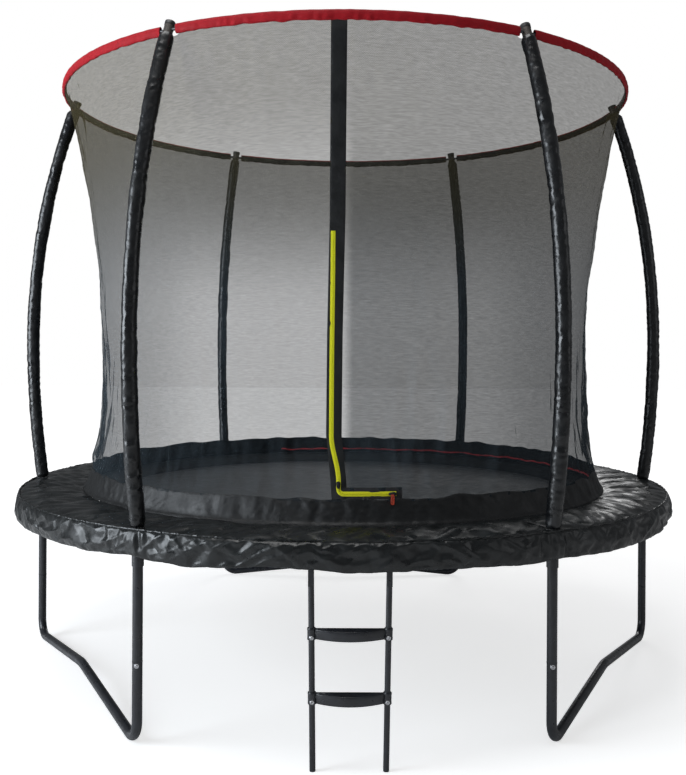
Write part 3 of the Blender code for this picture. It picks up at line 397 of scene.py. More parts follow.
PAD_PVC = cover_finish("pad_cover_pvc", (0.0065, 0.0080, 0.0085), 0.085, 0.0030, 0.30)
SLEEVE_PVC = cover_finish("sleeve_pvc", (0.0035, 0.0042, 0.0052), 0.040, 0.0009, 0.30)
set_values(SLEEVE_PVC, {"Coat Weight": 0.28})
BLACK_PLASTIC = cover_finish("moulded_plastic", (0.012, 0.012, 0.013), 0.02, 0.0002, 0.42)
print("cover finishes:", PAD_PVC.name, SLEEVE_PVC.name)

# %% [markdown]
# Woven finishes take their weave from the UV map in metres. The red sleeve is red on its
# outer side only; its inner half is the net's black binding, with a red edge on top, so
# the colour is chosen by how far a point lies from the trampoline's axis.

# %% Woven finishes
def woven_finish(name, colour, second, pitch, depth, roughness, source="UV"):
    finish = start_finish(name, colour, roughness)
    set_values(finish, {"Sheen Weight": 0.25})
    threads = weave(finish, pitch, source)
    cloud = speckle(finish, 0.06, 5.0)
    tone = calc(finish, "MULTIPLY_ADD", threads, 0.45, calc(finish, "MULTIPLY", cloud, 0.6))
    feed(finish, between(finish, tone, second, colour), "Base Color")
    feed(finish, remap(finish, cloud, 0.3, 0.7, roughness * 0.85, min(roughness * 1.15, 1.0)), "Roughness")
    feed(finish, relief(finish, threads, depth, relief(finish, speckle(finish, 0.02, 4.0), 0.0015)), "Normal")
    return finish


MAT_WEAVE = woven_finish("mat_weave", (0.030, 0.033, 0.034), (0.012, 0.013, 0.014), 0.0028, 0.0004, 0.5, "Object")
WEBBING = woven_finish("black_webbing", (0.016, 0.016, 0.018), (0.006, 0.006, 0.007), 0.0018, 0.0003, 0.75, "Object")
BAND_CLOTH = woven_finish("net_band_cloth", (0.0052, 0.0064, 0.0072), (0.0026, 0.0030, 0.0036), 0.0016, 0.0002, 0.5)
set_values(BAND_CLOTH, {"Sheen Weight": 0.03})
PIPING_RED = woven_finish("red_piping", (0.75, 0.020, 0.035), (0.42, 0.012, 0.020), 0.0012, 0.0002, 0.6, "Object")


def red_sleeve_finish():
    finish = woven_finish("red_sleeve_cloth", (0.52, 0.010, 0.020), (0.34, 0.006, 0.012), 0.0012, 0.00025, 0.62)
    set_values(finish, {"Sheen Weight": 0.03, "Specular IOR Level": 0.2})
    red = finish.node_tree.nodes["Principled BSDF"].inputs["Base Color"].links[0].from_socket
    split = add_node(finish, "ShaderNodeSeparateXYZ", {0: places(finish)}).outputs
    plan = add_node(finish, "ShaderNodeCombineXYZ", {0: split[0], 1: split[1]}).outputs[0]
    reach = add_node(finish, "ShaderNodeVectorMath", {0: plan}, operation="LENGTH").outputs[1]
    outside = remap(finish, reach, RING_RADIUS - 0.004, RING_RADIUS - 0.001, 0.0, 1.0)
    crest = remap(finish, split[2], RING_HEIGHT + 0.0125, RING_HEIGHT + 0.014, 0.0, 1.0)
    shown = calc(finish, "MAXIMUM", outside, crest)
    dark_edge = calc(finish, "MULTIPLY", crest, 0.45)
    red = between(finish, dark_edge, red, (0.20, 0.004, 0.012))
    feed(finish, between(finish, shown, (0.012, 0.011, 0.012), red), "Base Color")
    return finish


RED_CLOTH = red_sleeve_finish()
print("woven finishes:", MAT_WEAVE.name, WEBBING.name, BAND_CLOTH.name, RED_CLOTH.name)

# %% [markdown]
# The net is so fine that its holes can't be modelled one by one over thirteen square
# metres. Alpha does it: threads in a real-sized weave let part of the light through. The
# cloth is denser high up, where it is doubled at its top, and on the door side.

# %% Net finish
def net_finish():
    finish = start_finish("fine_net", (0.06, 0.06, 0.06), 0.75)
    split = add_node(finish, "ShaderNodeSeparateXYZ", {0: places(finish)}).outputs
    high = remap(finish, split[2], 1.60, 2.45, 0.0, 1.0)
    cover = calc(finish, "MULTIPLY_ADD", high, 0.34, 0.37)
    flank = remap(finish, calc(finish, "ABSOLUTE", split[0]), 0.80, 1.15, 0.0, 0.20)
    cover = calc(finish, "MULTIPLY_ADD", calc(finish, "SUBTRACT", 1.0, high), flank, cover)
    to_right = remap(finish, split[0], -0.02, 0.03, 0.0, 1.0)
    door = calc(finish, "MULTIPLY", to_right, remap(finish, split[1], 0.3, -0.3, 0.0, 1.0))
    doubled = calc(finish, "MULTIPLY", door, calc(finish, "SUBTRACT", 0.73, cover))
    cover = calc(finish, "ADD", cover, doubled)
    threads = calc(finish, "SUBTRACT", weave(finish, 0.0032), 0.5)
    crinkle = calc(finish, "SUBTRACT", speckle(finish, 0.010, 4.0, (0.30, 0.30, 2.2)), 0.5)
    cover = calc(finish, "MULTIPLY_ADD", threads, 0.14, cover)
    cover = calc(finish, "MULTIPLY_ADD", crinkle, 0.22, cover)
    limited = add_node(finish, "ShaderNodeClamp", {0: cover, 1: 0.12, 2: 0.95}).outputs[0]
    feed(finish, limited, "Alpha")
    # Painted light: by height, the colour goes from a bluish tint low down to a lit beige high up, for how light
    # falls on the net.
    feed(finish, between(finish, high, (0.032, 0.043, 0.052), (0.046, 0.038, 0.016)), "Base Color")
    feed(finish, remap(finish, crinkle, -0.2, 0.2, 0.65, 0.9), "Roughness")
    feed(finish, relief(finish, crinkle, 0.003), "Normal")
    set_values(finish, {"Specular IOR Level": 0.12})
    return finish


NET_CLOTH = net_finish()


def plain_finish(name, colour, darker, size, roughness, depth):
    """A moulded or dyed finish with mottling of one size."""
    finish = start_finish(name, colour, roughness)
    cloud = remap(finish, speckle(finish, size, 5.0), 0.3, 0.7, 0.0, 1.0)
    feed(finish, between(finish, cloud, darker, colour), "Base Color")
    feed(finish, remap(finish, cloud, 0.0, 1.0, roughness * 1.2, roughness * 0.8), "Roughness")
    feed(finish, relief(finish, speckle(finish, size / 6, 3.0), depth), "Normal")
    return finish


ZIP_YELLOW = plain_finish("zip_yellow", (0.95, 0.93, 0.02), (0.86, 0.86, 0.015), 0.004, 0.5, 0.0001)
ZIP_TEETH = plain_finish("zip_teeth", (0.93, 0.92, 0.02), (0.78, 0.78, 0.015), 0.003, 0.35, 0.0001)
PULL_RED = plain_finish("pull_red", (0.72, 0.085, 0.035), (0.55, 0.05, 0.02), 0.006, 0.4, 0.0001)
set_values(PULL_RED, {"Coat Weight": 0.3})
print("net and zip finishes:", NET_CLOTH.name, ZIP_YELLOW.name, PULL_RED.name)

# %% [markdown]
# The frame ring is six bent galvanised tubes pushed into six T-shaped joints. A joint
# holds the two rails, the leg from below and the pole from above. It is two crossing
# sockets with a weld bead where they meet.

# %% Frame ring
RAIL_INSET = degrees(0.026 / FRAME_RADIUS)
TEE_HALF = degrees(0.075 / FRAME_RADIUS)
TEE_WALL = 0.0022


def rail_path(steps=28):
    turns = np.linspace(RAIL_INSET, 60.0 - RAIL_INSET, steps)
    return around(FRAME_RADIUS, turns, FRAME_HEIGHT)


def tee_mesh():
    level = around(FRAME_RADIUS, np.linspace(-TEE_HALF, TEE_HALF, 9), FRAME_HEIGHT)
    sleeve = tube_mesh("tee_sleeve", level, SOCKET, TEE_WALL)
    foot, head = FRAME_HEIGHT - 0.085, SOCKET_TOP
    upright = np.stack([np.full(9, FRAME_RADIUS), np.zeros(9), np.linspace(foot, head, 9)], -1)
    stub = tube_mesh("tee_stub", upright, SOCKET, TEE_WALL)
    turn = np.linspace(0, tau, 61)[:-1]
    x, y = SOCKET * np.cos(turn), SOCKET * np.sin(turn)
    beads = []
    for side in (-1.0, 1.0):
        lift = np.sqrt(np.maximum(SOCKET**2 - x**2, 0)) * side
        path = np.stack([FRAME_RADIUS + x, y * 1.06, FRAME_HEIGHT + lift], -1)
        ring = swept(np.vstack([path, path[:1]]), 0.0016 + 0.0003 * np.sin(np.arange(61) * 2.1), 8)
        beads.append(grid_mesh("bead", ring, wrap=True))
    return joined("tee_joint", [sleeve, stub, *beads])


rail = tube_mesh("steel_rail", rail_path(), TUBE)
tee = tee_mesh()
for number, turn in enumerate(POSTS, 1):
    add_piece(f"steel_rail_{number}", rail, ZINC, stands_for=[f"frame_rail_{number}"], turn=turn)
    add_piece(f"tee_joint_{number}", tee, BLACK_STEEL, stands_for=[f"frame_joint_{number}"], turn=turn)

# %% [markdown]
# Each leg is a U: the lower tube is bent up at both ends and raised in its middle, so that
# it stands on two corners. A pair of straight tubes joins it to the frame, and a small
# bright screw with a domed head locks each splice.

# %% Legs
def arc_corner(before, corner, after, radius, steps=10):
    """Points of a rounded corner between two straight runs."""
    back = (before - corner) / np.linalg.norm(before - corner)
    ahead = (after - corner) / np.linalg.norm(after - corner)
    half = 0.5 * np.arccos(np.clip(back.dot(ahead), -1, 1))
    middle = (back + ahead) / np.linalg.norm(back + ahead)
    centre = corner + middle * radius / np.sin(half)
    start = corner + back * radius / np.tan(half) - centre
    end = corner + ahead * radius / np.tan(half) - centre
    sweep = np.arccos(np.clip(start.dot(end) / radius**2, -1, 1))
    share = np.linspace(0, 1, steps)[:, None]
    return centre + (start * np.sin((1 - share) * sweep) + end * np.sin(share * sweep)) / np.sin(sweep)


def leg_path():
    near, far = around(FRAME_RADIUS, 0.0, TUBE), around(FRAME_RADIUS, 60.0, TUBE)
    up = np.array([0, 0, SPLICE_HEIGHT - TUBE])
    raised = 0.5 * (near + far) + np.array([0, 0, 0.075])
    soft = arc_corner(near, raised, far, 0.30, 7)
    parts = [near + up, arc_corner(near + up, near, raised, 0.075)]
    parts += [soft, arc_corner(raised, far, far + up, 0.075), far + up]
    path = np.vstack([np.atleast_2d(part) for part in parts])
    path[1:-1, 2] += TUBE - path[:, 2].min()
    return path


print("leg path:", len(leg_path()), "points")

# %% Screw heads and splice lips
def screw_mesh(name, radius=0.0055, height=0.004):
    """Domed screw head with a washer and a six-sided socket, standing along +Z."""
    rim = [(radius * 1.55, 0.0), (radius * 1.6, 0.0006), (radius * 1.5, 0.0011), (radius * 1.02, 0.0012)]
    dome = [(radius * cos(a), 0.0012 + (height - 0.0012) * sin(a)) for a in np.linspace(0, 1.15, 6)]
    well = [(radius * 0.36, height - 0.0004), (radius * 0.33, height - 0.0018)]
    return lathe_mesh(name, rim + dome + well, 18, flip=True)


def facing(place, out, spin=0.0):
    """A placing matrix whose +Z looks along out."""
    turn = Vector(out).to_track_quat("Z", "Y").to_matrix().to_4x4()
    return Matrix.Translation(Vector(place)) @ turn @ Matrix.Rotation(spin, 4, "Z")


def splice_ring(angle):
    """A thin swaged lip where the upper tube enters the lower one."""
    middle = around(FRAME_RADIUS, angle, SPLICE_HEIGHT)
    heights = np.array([-0.004, -0.003, 0.0, 0.0008])
    path = middle + np.stack([np.zeros(4), np.zeros(4), heights], -1)
    rings = swept(path, np.array([TUBE - 0.0004, TUBE + 0.0007, TUBE + 0.0007, TUBE - 0.0006]), 24)
    return grid_mesh("splice_lip", rings, wrap=True)


print("leg details: screw heads and splice lips")

# %% Legs in place
SCREW_ASIDE, SCREW_HEIGHT = 32.0, 0.297
leg_tube = tube_mesh("leg_tube", leg_path(), TUBE, sides=24)
leg_tube = joined("leg_foot", [leg_tube, splice_ring(0.0), splice_ring(60.0)])
upright_path = [(0, 0, height) for height in (SPLICE_HEIGHT + 0.0005, 0.4, 0.55, 0.65, 0.719)]
upright = tube_mesh("leg_upright", upright_path, TUBE, sides=24)
screw = screw_mesh("leg_screw")
number = 0
for place, first in (("back", 1), ("left", 3), ("right", 5)):
    base_node = f"leg_base_{place}"
    add_piece(f"leg_foot_{place}", leg_tube, BLACK_STEEL, stands_for=[base_node], turn=POSTS[first])
    for post in (first, (first + 1) % 6):
        number += 1
        angle = POSTS[post]
        leg = add_piece(f"leg_upright_{number}", upright, BLACK_STEEL, body=None)
        leg.location = around(FRAME_RADIUS, angle, 0.0)
        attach(leg, "frame")
        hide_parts(f"leg_upper_{number}")
        out = around(1.0, angle + (-SCREW_ASIDE if post == first else SCREW_ASIDE), 0.0)
        head = add_piece(f"leg_screw_{number}", screw, SCREW_STEEL, body=None)
        head.matrix_world = facing(around(FRAME_RADIUS, angle, SCREW_HEIGHT) + out * (TUBE - 0.0004), out)
        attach(head, "frame")
print("legs:", 3, "feet,", number, "uprights, each with a screw")

# %% [markdown]
# The poles lean out from the frame and curve back in over the mat, so nobody on the mat
# can hit them. Two arcs that meet where the pole is widest give that line. Foam and a
# thin cover pull in at both ends, and the cover creases all the way up: the creases are
# real geometry, moved in and out by a field that is stretched round the pole.

# %% Poles
def pole_reach(height):
    """Distance of the pole's middle from the axis at a height."""
    height = np.asarray(height, float)
    low = height < POLE_WIDEST[1]
    lean = np.where(low, POLE_WIDEST[0] - FRAME_RADIUS, POLE_WIDEST[0] - RING_RADIUS)
    run = np.where(low, POLE_WIDEST[1] - SOCKET_TOP, RING_HEIGHT - POLE_WIDEST[1])
    arc = (run**2 + lean**2) / (2 * lean)
    return POLE_WIDEST[0] - arc + np.sqrt(arc**2 - (height - POLE_WIDEST[1]) ** 2)


PADDING_LOW, PADDING_HIGH = 0.7965, 2.6235
PADDING_LENGTH = 1.8
POLE_TOP = 2.670


def pole_line(low, high, steps):
    heights = np.linspace(low, high, steps)
    return np.stack([pole_reach(heights), np.zeros(steps), heights], -1)


print("pole reach at its widest:", round(float(pole_reach(POLE_WIDEST[1])), 3), "m")

# %% Pole padding
def padding_mesh(number):
    """Foam sleeve with its creased cover, drawn at the +X post."""
    rows, sides = 420, 44
    line = pole_line(PADDING_LOW, PADDING_HIGH, rows)
    along, side, rise = frames_along(line)
    turn = np.arange(sides) / sides * tau
    ring = side[:, None] * np.cos(turn)[None, :, None] + rise[:, None] * np.sin(turn)[None, :, None]
    run = np.linspace(0, PADDING_LENGTH, rows)[:, None]
    spread = np.stack(np.broadcast_arrays(run, 0.016 * np.cos(turn), 0.016 * np.sin(turn)), -1)
    dents = ripple(spread, 0.19, 10 + number)
    folds = 1.0 - np.abs(ripple(spread, 0.050, 30 + number))
    tiny = 1.0 - np.abs(ripple(spread * (1.0, 1.8, 1.8), 0.020, 50 + number))
    radius = 0.0288 + 0.0006 * dents + 0.0011 * folds + 0.0005 * tiny
    radius += 0.0010 * np.cos(turn * 2 + 0.6 * ripple(spread, 0.5, 70 + number))
    seam = np.exp(-((turn % tau - pi) ** 2) / 0.012)
    radius += 0.0014 * seam
    ends = smooth_step(np.minimum(run, PADDING_LENGTH - run), 0.0, 0.014)
    radius = 0.0215 + (radius - 0.0215) * (0.25 + 0.75 * ends)
    grid = line[:, None] + ring * radius[..., None]
    lip = line[:, None] + ring * 0.0196
    grid = np.concatenate([lip[:1], grid, lip[-1:]])
    return grid_mesh(f"padding_{number}", grid, wrap=True, sharp=60.0, across=(0.18, PADDING_LENGTH))


print("padding: one mesh for each of", len(POSTS), "poles, creased by its own number")

# %% Poles in place
tube_line = np.vstack([[(FRAME_RADIUS, 0, 0.762)], pole_line(SOCKET_TOP, POLE_TOP, 60)])
pole_tube = tube_mesh("pole", tube_line, TUBE, sides=24)
plug_profile = [(0.0168, -0.009), (0.0168, 0.0003), (0.0192, 0.0003), (0.0192, -0.0100)]
plug_profile += [(0.0204, -0.0102), (0.0206, 0.0040)]
plug_profile += [(0.0196, 0.0061), (0.0150, 0.0074), (0.0080, 0.0079), (0.0010, 0.0080)]
plug = lathe_mesh("pole_plug", plug_profile, 28, flip=False)
top = pole_line(POLE_TOP - 0.027, POLE_TOP, 2)
lean = atan2(top[0, 0] - top[1, 0], top[1, 2] - top[0, 2])
for number, turn in enumerate(POSTS, 1):
    add_piece(f"pole_{number}", pole_tube, GREY_STEEL, stands_for=[f"pole_tube_{number}"], turn=turn)
    add_piece(
        f"pole_padding_{number}", padding_mesh(number), SLEEVE_PVC,
        stands_for=[f"pole_sleeve_{number}"], turn=turn,
    )
    cap = add_piece(f"pole_plug_{number}", plug, BLACK_PLASTIC, body=None)
    spin = Matrix.Rotation(radians(turn), 4, "Z")
    cap.matrix_world = spin @ Matrix.Translation(top[1]) @ Matrix.Rotation(-lean, 4, "Y")
    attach(cap, "frame")
    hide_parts(f"pole_cap_{number}")
print("poles:", len(POSTS), "each padded from", PADDING_LOW, "to", PADDING_HIGH, "m")

# %% [markdown]
# A thin rod runs through all six poles and holds the net up. The red sleeve is a flat tube
# of cloth round it, in one length between two poles. It has two walls, so that its open
# ends show the cloth's thickness. It puckers along the stitching at its foot, so its lower
# edge is a little uneven.

# %% Rod and red sleeves
rod_turns = np.linspace(0, 360, 241)
rod_grid = swept(around(RING_RADIUS, rod_turns, RING_HEIGHT), 0.006, 12)
add_piece("top_rod", grid_mesh("top_rod", rod_grid, wrap=True), BLACK_STEEL, stands_for=["net_rod"])
print("rod radius", RING_RADIUS)


# %% Red sleeves
def red_sleeve_mesh(number):
    stops = np.linspace(1.62, 58.38, 196)
    section = np.arange(30) / 30 * tau
    flat = np.sign(np.cos(section)) * np.abs(np.cos(section)) ** 0.8
    tall = np.sign(np.sin(section)) * np.abs(np.sin(section)) ** 0.72
    spread = around(RING_RADIUS, stops + 60 * number, RING_HEIGHT)[:, None] + np.stack(
        [0 * flat, 0 * flat, 0.02 * tall], -1
    )
    sag = 0.0010 * ripple(spread * (1, 1, 0.3), 0.11, 200 + number)
    pucker = 0.0011 * ripple(spread * (1, 1, 0.2), 0.026, 220 + number) * (0.35 + 0.65 * (tall < -0.2))
    width = 0.0088 + pucker + 0.5 * sag
    drop = 0.0012 * ripple(around(RING_RADIUS, stops, 0.0), 0.05, 240 + number)[:, None]
    height = RING_HEIGHT + 0.0187 * tall + np.where(tall < 0, drop, 0.3 * drop)
    reach = RING_RADIUS + width * flat
    outer = around(reach, stops[:, None], height)
    inner = around(reach - 0.0007 * flat, stops[:, None], height - 0.0007 * tall)
    grid = np.concatenate([outer, inner[::-1], outer[:1]])
    return grid_mesh(f"red_sleeve_{number}", grid, wrap=True, sharp=50.0, across=(0.08, 1.31), flip=True)


for number, turn in enumerate(POSTS, 1):
    cad_node = f"rod_sleeve_{number}"
    mesh = red_sleeve_mesh(number)
    sleeve = add_piece(f"red_sleeve_{number}", mesh, RED_CLOTH, stands_for=[cad_node], turn=turn)
print("top ring:", RING_HEIGHT, "m high")

# %% [markdown]
# The net hangs from the rod, draws in to a waist and flares again to its foot. Its folds
# matter: where the cloth turns away at the sides, a sightline crosses several folds and
# the net looks almost black. So the gathers are modelled, growing towards the foot.

# %% Safety net
NET_TOP_LIFT = 0.0085


def net_reach(height):
    """Smooth side of the net, as a distance from the axis."""
    height = np.asarray(height, float)
    up = (height - NET_WAIST[1]) / (NET_TOP[1] - NET_WAIST[1])
    down = np.clip((NET_WAIST[1] - height) / (NET_WAIST[1] - NET_FOLD[1]), 0, None)
    above = NET_WAIST[0] + (NET_TOP[0] - NET_WAIST[0]) * np.clip(up, 0, None) ** 2
    above = above + NET_TOP_LIFT * smooth_step(height, 2.600, 2.626)
    return np.where(up >= 0, above, NET_WAIST[0] + (NET_FOLD[0] - NET_WAIST[0]) * down**3)


def net_grid(columns=1000, rows=130):
    turns = np.arange(columns) / columns * 360.0
    share = np.linspace(0, 1, rows)
    heights = BAND_TOP - 0.006 + (NET_TOP[1] + 0.010 - BAND_TOP + 0.006) * share
    turn, height = np.meshgrid(turns, heights)
    reach = net_reach(height)
    spread = around(reach, turn, height)
    to_post = np.abs((turn + 30.0) % 60.0 - 30.0)
    high = smooth_step(height, 2.35, 2.63)
    reach = reach - 0.026 * np.exp(-((to_post / 1.7) ** 2)) * high
    reach = reach - NET_TOP_LIFT * smooth_step(height, 2.600, 2.626) * np.exp(-((to_post / 1.9) ** 2))
    low = smooth_step(-height, -1.75, -0.95)
    gather = ripple(spread * (1.0, 1.0, 0.10), 0.075, 301) * (0.0014 + 0.0052 * low)
    gather += ripple(spread * (1.0, 1.0, 0.16), 0.034, 302) * (0.0007 + 0.0020 * low + 0.0008 * high)
    slack = 0.0026 * ripple(spread * (1.0, 1.0, 0.8), 0.30, 303)
    fine = 0.0007 * ripple(spread * (0.7, 0.7, 1.5), 0.040, 304)
    front = np.exp(-(((turn - 272.0) / 7.5) ** 4))
    calm = 1.0 - 0.85 * front * smooth_step(-height, -2.1, -1.95)
    calm = calm * (1.0 - 0.96 * np.exp(-(((turn - 268.4) / 2.3) ** 4)))
    edge = smooth_step(share, 0.0, 0.03)[:, None] * (1 - 0.6 * smooth_step(share, 0.97, 1.0)[:, None])
    reach = reach + (gather + slack + fine) * calm * edge
    return around(reach, turn, height)


net_mesh = grid_mesh("net_cloth", net_grid(), wrap=True, sharp=0, across=(8.4, 1.75))
net = add_piece("net_cloth", net_mesh, NET_CLOTH, stands_for=["safety_net"])
print("net:", len(net_mesh.vertices), "points, waist radius", NET_WAIST[0])

# %% [markdown]
# The door is marked by a black tape down the middle of the front. The zip runs down its
# left part and turns a corner to the right just over the pad. Strips that lie on the net
# share one helper: a path of (x, height) on the net's face, and an offset in front of it.

# %% Strips on the front of the net
def on_net(x, height, offset):
    """Points in front of the net's face, near the front."""
    reach = net_reach(height)
    return np.stack([x + 0 * reach, -np.sqrt(reach**2 - np.asarray(x) ** 2) - offset, height + 0 * reach], -1)


def strip_mesh(name, middle, half, offset, thick, lanes=9, ripple_size=0.0, seed=0):
    """A thin flat strip along a path of (x, height), with rounded edges."""
    middle = np.asarray(middle, float)
    way = np.gradient(middle, axis=0)
    way /= np.linalg.norm(way, axis=1, keepdims=True)
    aside = np.stack([way[:, 1], -way[:, 0]], -1)
    half = np.broadcast_to(half, len(middle))[:, None]
    lane = np.linspace(-1, 1, lanes)
    x = middle[:, :1] + aside[:, :1] * half * lane
    height = middle[:, 1:] + aside[:, 1:] * half * lane
    bump = ripple_size * ripple(np.stack([x, height, 0 * x], -1), 0.06, seed) if ripple_size else 0.0
    crown = thick * (1 - 0.55 * lane**6)
    front = on_net(x, height, offset + crown + bump)
    back = on_net(x, height, offset + bump)
    grid = np.concatenate([front, back[:, ::-1]], axis=1)
    return grid_mesh(name, grid, wrap=True, caps=True, sharp=50.0, across=(4 * float(half.max()), 1.0))


def zip_x(height):
    return -0.0265 - 0.028 * smooth_step(height, 0.950, 1.120) + 0.003 * smooth_step(height, 1.3, 1.85)


def tape_x(height):
    return np.interp(height, [0.88, 0.96, 1.12, 1.5, 1.95, 2.62], [-0.022, -0.028, -0.045, -0.043, -0.035, -0.033])


LEVEL = BAND_TOP + 0.022
heights = np.linspace(0.886, 2.630, 150)
tape_path = np.stack([tape_x(heights), heights], -1)
tape_mesh = strip_mesh("door_tape", tape_path, 0.0295, 0.0007, 0.0012, 11, 0.0006, 401)
door_tape = add_piece("door_tape", tape_mesh, BAND_CLOTH)
patch_path = np.stack([np.linspace(-0.052, 0.212, 40), np.full(40, LEVEL + 0.002)], -1)
patch_mesh = strip_mesh("zip_patch", patch_path, 0.021, 0.0010, 0.0012, 9, 0.0005, 402)
patch = add_piece("zip_patch", patch_mesh, WEBBING)
print("door tape and patch on the net's front, the zip's level run at", round(LEVEL, 3), "m")


# %% Zip line and teeth
def zip_path():
    """Middle of the zip, from the far end of the level run round the corner and up."""
    level = [(x, LEVEL) for x in np.linspace(0.190, -0.008, 34)]
    corner = [(-0.0265 + 0.0185 * (1 - sin(a)), LEVEL + 0.0185 * (1 - cos(a))) for a in np.linspace(0.15, 1.45, 7)]
    rise = [(zip_x(height), height) for height in np.linspace(LEVEL + 0.024, 1.887, 130)]
    return np.array(level + corner + rise)


ZIP_LINE = zip_path()
yellow = strip_mesh("zip_cloth", ZIP_LINE, 0.0086, 0.0022, 0.0010, 7)


def teeth_mesh():
    """Small rounded teeth down the middle of the zip, left and right in turn."""
    steps = np.linalg.norm(np.diff(ZIP_LINE, axis=0), axis=1)
    run = np.concatenate([[0], np.cumsum(steps)])
    places_along = np.arange(0.004, run[-1] - 0.003, 0.0034)
    x = np.interp(places_along, run, ZIP_LINE[:, 0])
    height = np.interp(places_along, run, ZIP_LINE[:, 1])
    way = np.stack([np.gradient(x), np.gradient(height)], -1)
    way /= np.linalg.norm(way, axis=1, keepdims=True)
    aside = np.stack([way[:, 1], -way[:, 0]], -1)
    points, faces = [], []
    for index in range(len(x)):
        side = 1 if index % 2 else -1
        middle = np.array([x[index], height[index]]) + aside[index] * side * 0.0013
        base = len(points)
        for offset, grow in ((0.0031, 1.0), (0.0046, 0.72)):
            for across_way, along_way in ((-1, -1), (1, -1), (1, 1), (-1, 1)):
                spot = middle + aside[index] * across_way * 0.0026 * grow + way[index] * along_way * 0.0012 * grow
                points.append(on_net(spot[0], spot[1], offset))
        faces.append([base + 7, base + 6, base + 5, base + 4])
        faces += [[base + k, base + k + 4, base + (k + 1) % 4 + 4, base + (k + 1) % 4] for k in range(4)]
        faces.append([base, base + 1, base + 2, base + 3])
    return mesh_of("zip_teeth", np.array(points), faces, 30.0)


print("zip line:", round(float(np.linalg.norm(np.diff(ZIP_LINE, axis=0), axis=1).sum()), 3), "m long")

# %% Zip on the net
zip_cloth = add_piece("zip_cloth", yellow, ZIP_YELLOW, stands_for=["zip_tape"])
teeth = add_piece("zip_teeth", teeth_mesh(), ZIP_TEETH)
print("zip:", len(ZIP_LINE), "stations and", len(teeth.data.polygons) // 6, "teeth")

# %% [markdown]
# A zip slider is a small cast body with a waist, a bridge over its top and an eye for the
# pull. It is drawn standing along Z with its back at Y = 0, then set where the packed
# slider is, at the same lean. The red pull hangs in front of the level slider.

# %% Sliders and pull
def rounded_block(name, outline, depths, grow):
    """Sections of one outline (x, z) at several depths, each scaled: a soft-edged plate."""
    outline = np.asarray(outline, float)
    rows = []
    for depth, scale in zip(depths, grow):
        rows.append(np.stack([outline[:, 0] * scale, np.full(len(outline), -depth), outline[:, 1] * scale], -1))
    return grid_mesh(name, np.array(rows), wrap=True, caps=True, sharp=45.0)


def slider_shape(name):
    turns = np.linspace(0, tau, 41)[:-1]
    half_long, half_wide = 0.0145, 0.0105
    z = half_long * np.sin(turns)
    x = half_wide * np.cos(turns) * (0.86 + 0.20 * np.sin(turns)) * (1 - 0.16 * np.cos(2 * turns))
    outline = np.stack([x, z], -1)
    plate = rounded_block("plate", outline, (0.0003, 0.0008, 0.0026, 0.0032), (0.94, 1.0, 1.0, 0.93))
    cover = rounded_block("cover", outline * 0.9, (0.0036, 0.0042, 0.0058, 0.0064), (0.93, 1.0, 1.0, 0.9))
    post = rounded_block("post", outline * 0.4, (0.0030, 0.0038), (1.0, 1.0))
    bridge_line = [(0, -0.0058, 0.009), (0, -0.0080, 0.0078), (0, -0.0087, 0.003)]
    bridge_line += [(0, -0.0087, -0.003), (0, -0.0078, -0.0078), (0, -0.0058, -0.009)]
    bridge = grid_mesh("bridge", swept(bridge_line, 0.0011, 8), wrap=True, caps=True)
    return joined(name, [plate, cover, post, bridge])


SIDE_AT, SIDE_LEAN = Vector((-0.026873, -1.211397, 0.937)), 0.19899
BASE_AT, BASE_TURN = Vector((0.175, -1.205122, 0.904)), 0.08736
PULL_AT = Vector((0.175986, -1.216378, 0.904))
side = add_piece("slider_side", slider_shape("slider_side"), BLACK_PLASTIC, body=None)
side.matrix_world = Matrix.Translation(SIDE_AT) @ Matrix.Rotation(SIDE_LEAN, 4, "X")
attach(side, "zip_slider_side")
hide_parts("zip_slider_side")
base = add_piece("slider_base", slider_shape("slider_base"), BLACK_PLASTIC, body=None)
base_place = Matrix.Translation(BASE_AT) @ Matrix.Rotation(BASE_TURN, 4, "Z")
base.matrix_world = base_place @ Matrix.Rotation(radians(90), 4, "Y")
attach(base, "zip_slider_base")
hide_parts("zip_slider_base")


print("sliders at", tuple(round(v, 3) for v in SIDE_AT), "and", tuple(round(v, 3) for v in BASE_AT))

# %% Red pull
def pull_shape():
    """Tab with a rounded foot and a moulded rim, hanging from its own origin."""
    turns = np.linspace(-pi, 0, 19)
    foot = [(0.007 * cos(t), -0.033 + 0.007 * sin(t)) for t in turns]
    outline = [(-0.0052, -0.001), (-0.0064, -0.006), *foot, (0.0064, -0.006), (0.0052, -0.001)]
    outline = np.asarray(outline)
    middle = outline.mean(0)
    steps = [(-0.0019, 0.90), (-0.0019, 0.66), (-0.0010, 0.58), (0.0010, 0.58), (0.0019, 0.66)]
    steps += [(0.0019, 0.90), (0.0013, 1.0), (-0.0013, 1.0)]
    rows = []
    for depth, grow in steps:
        section = middle + (outline - middle) * grow
        rows.append(np.stack([section[:, 0], np.full(len(section), depth), section[:, 1]], -1))
    tab = grid_mesh("tab", np.array(rows), wrap=True, sharp=35.0)
    core = rounded_block("core", (outline - middle) * 0.585 + middle, (-0.0010, 0.0010), (1.0, 1.0))
    closing = grid_mesh("closing", np.array([rows[-1], rows[0]]), wrap=True, sharp=35.0)
    return joined("pull_tab", [tab, core, closing])


pull = add_piece("pull_tab", pull_shape(), PULL_RED, body=None)
pull.matrix_world = Matrix.Translation(PULL_AT) @ Matrix.Rotation(BASE_TURN, 4, "Z")
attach(pull, "zip_pull")
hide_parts("zip_pull")
print("pull hinged at", tuple(round(v, 3) for v in PULL_AT))
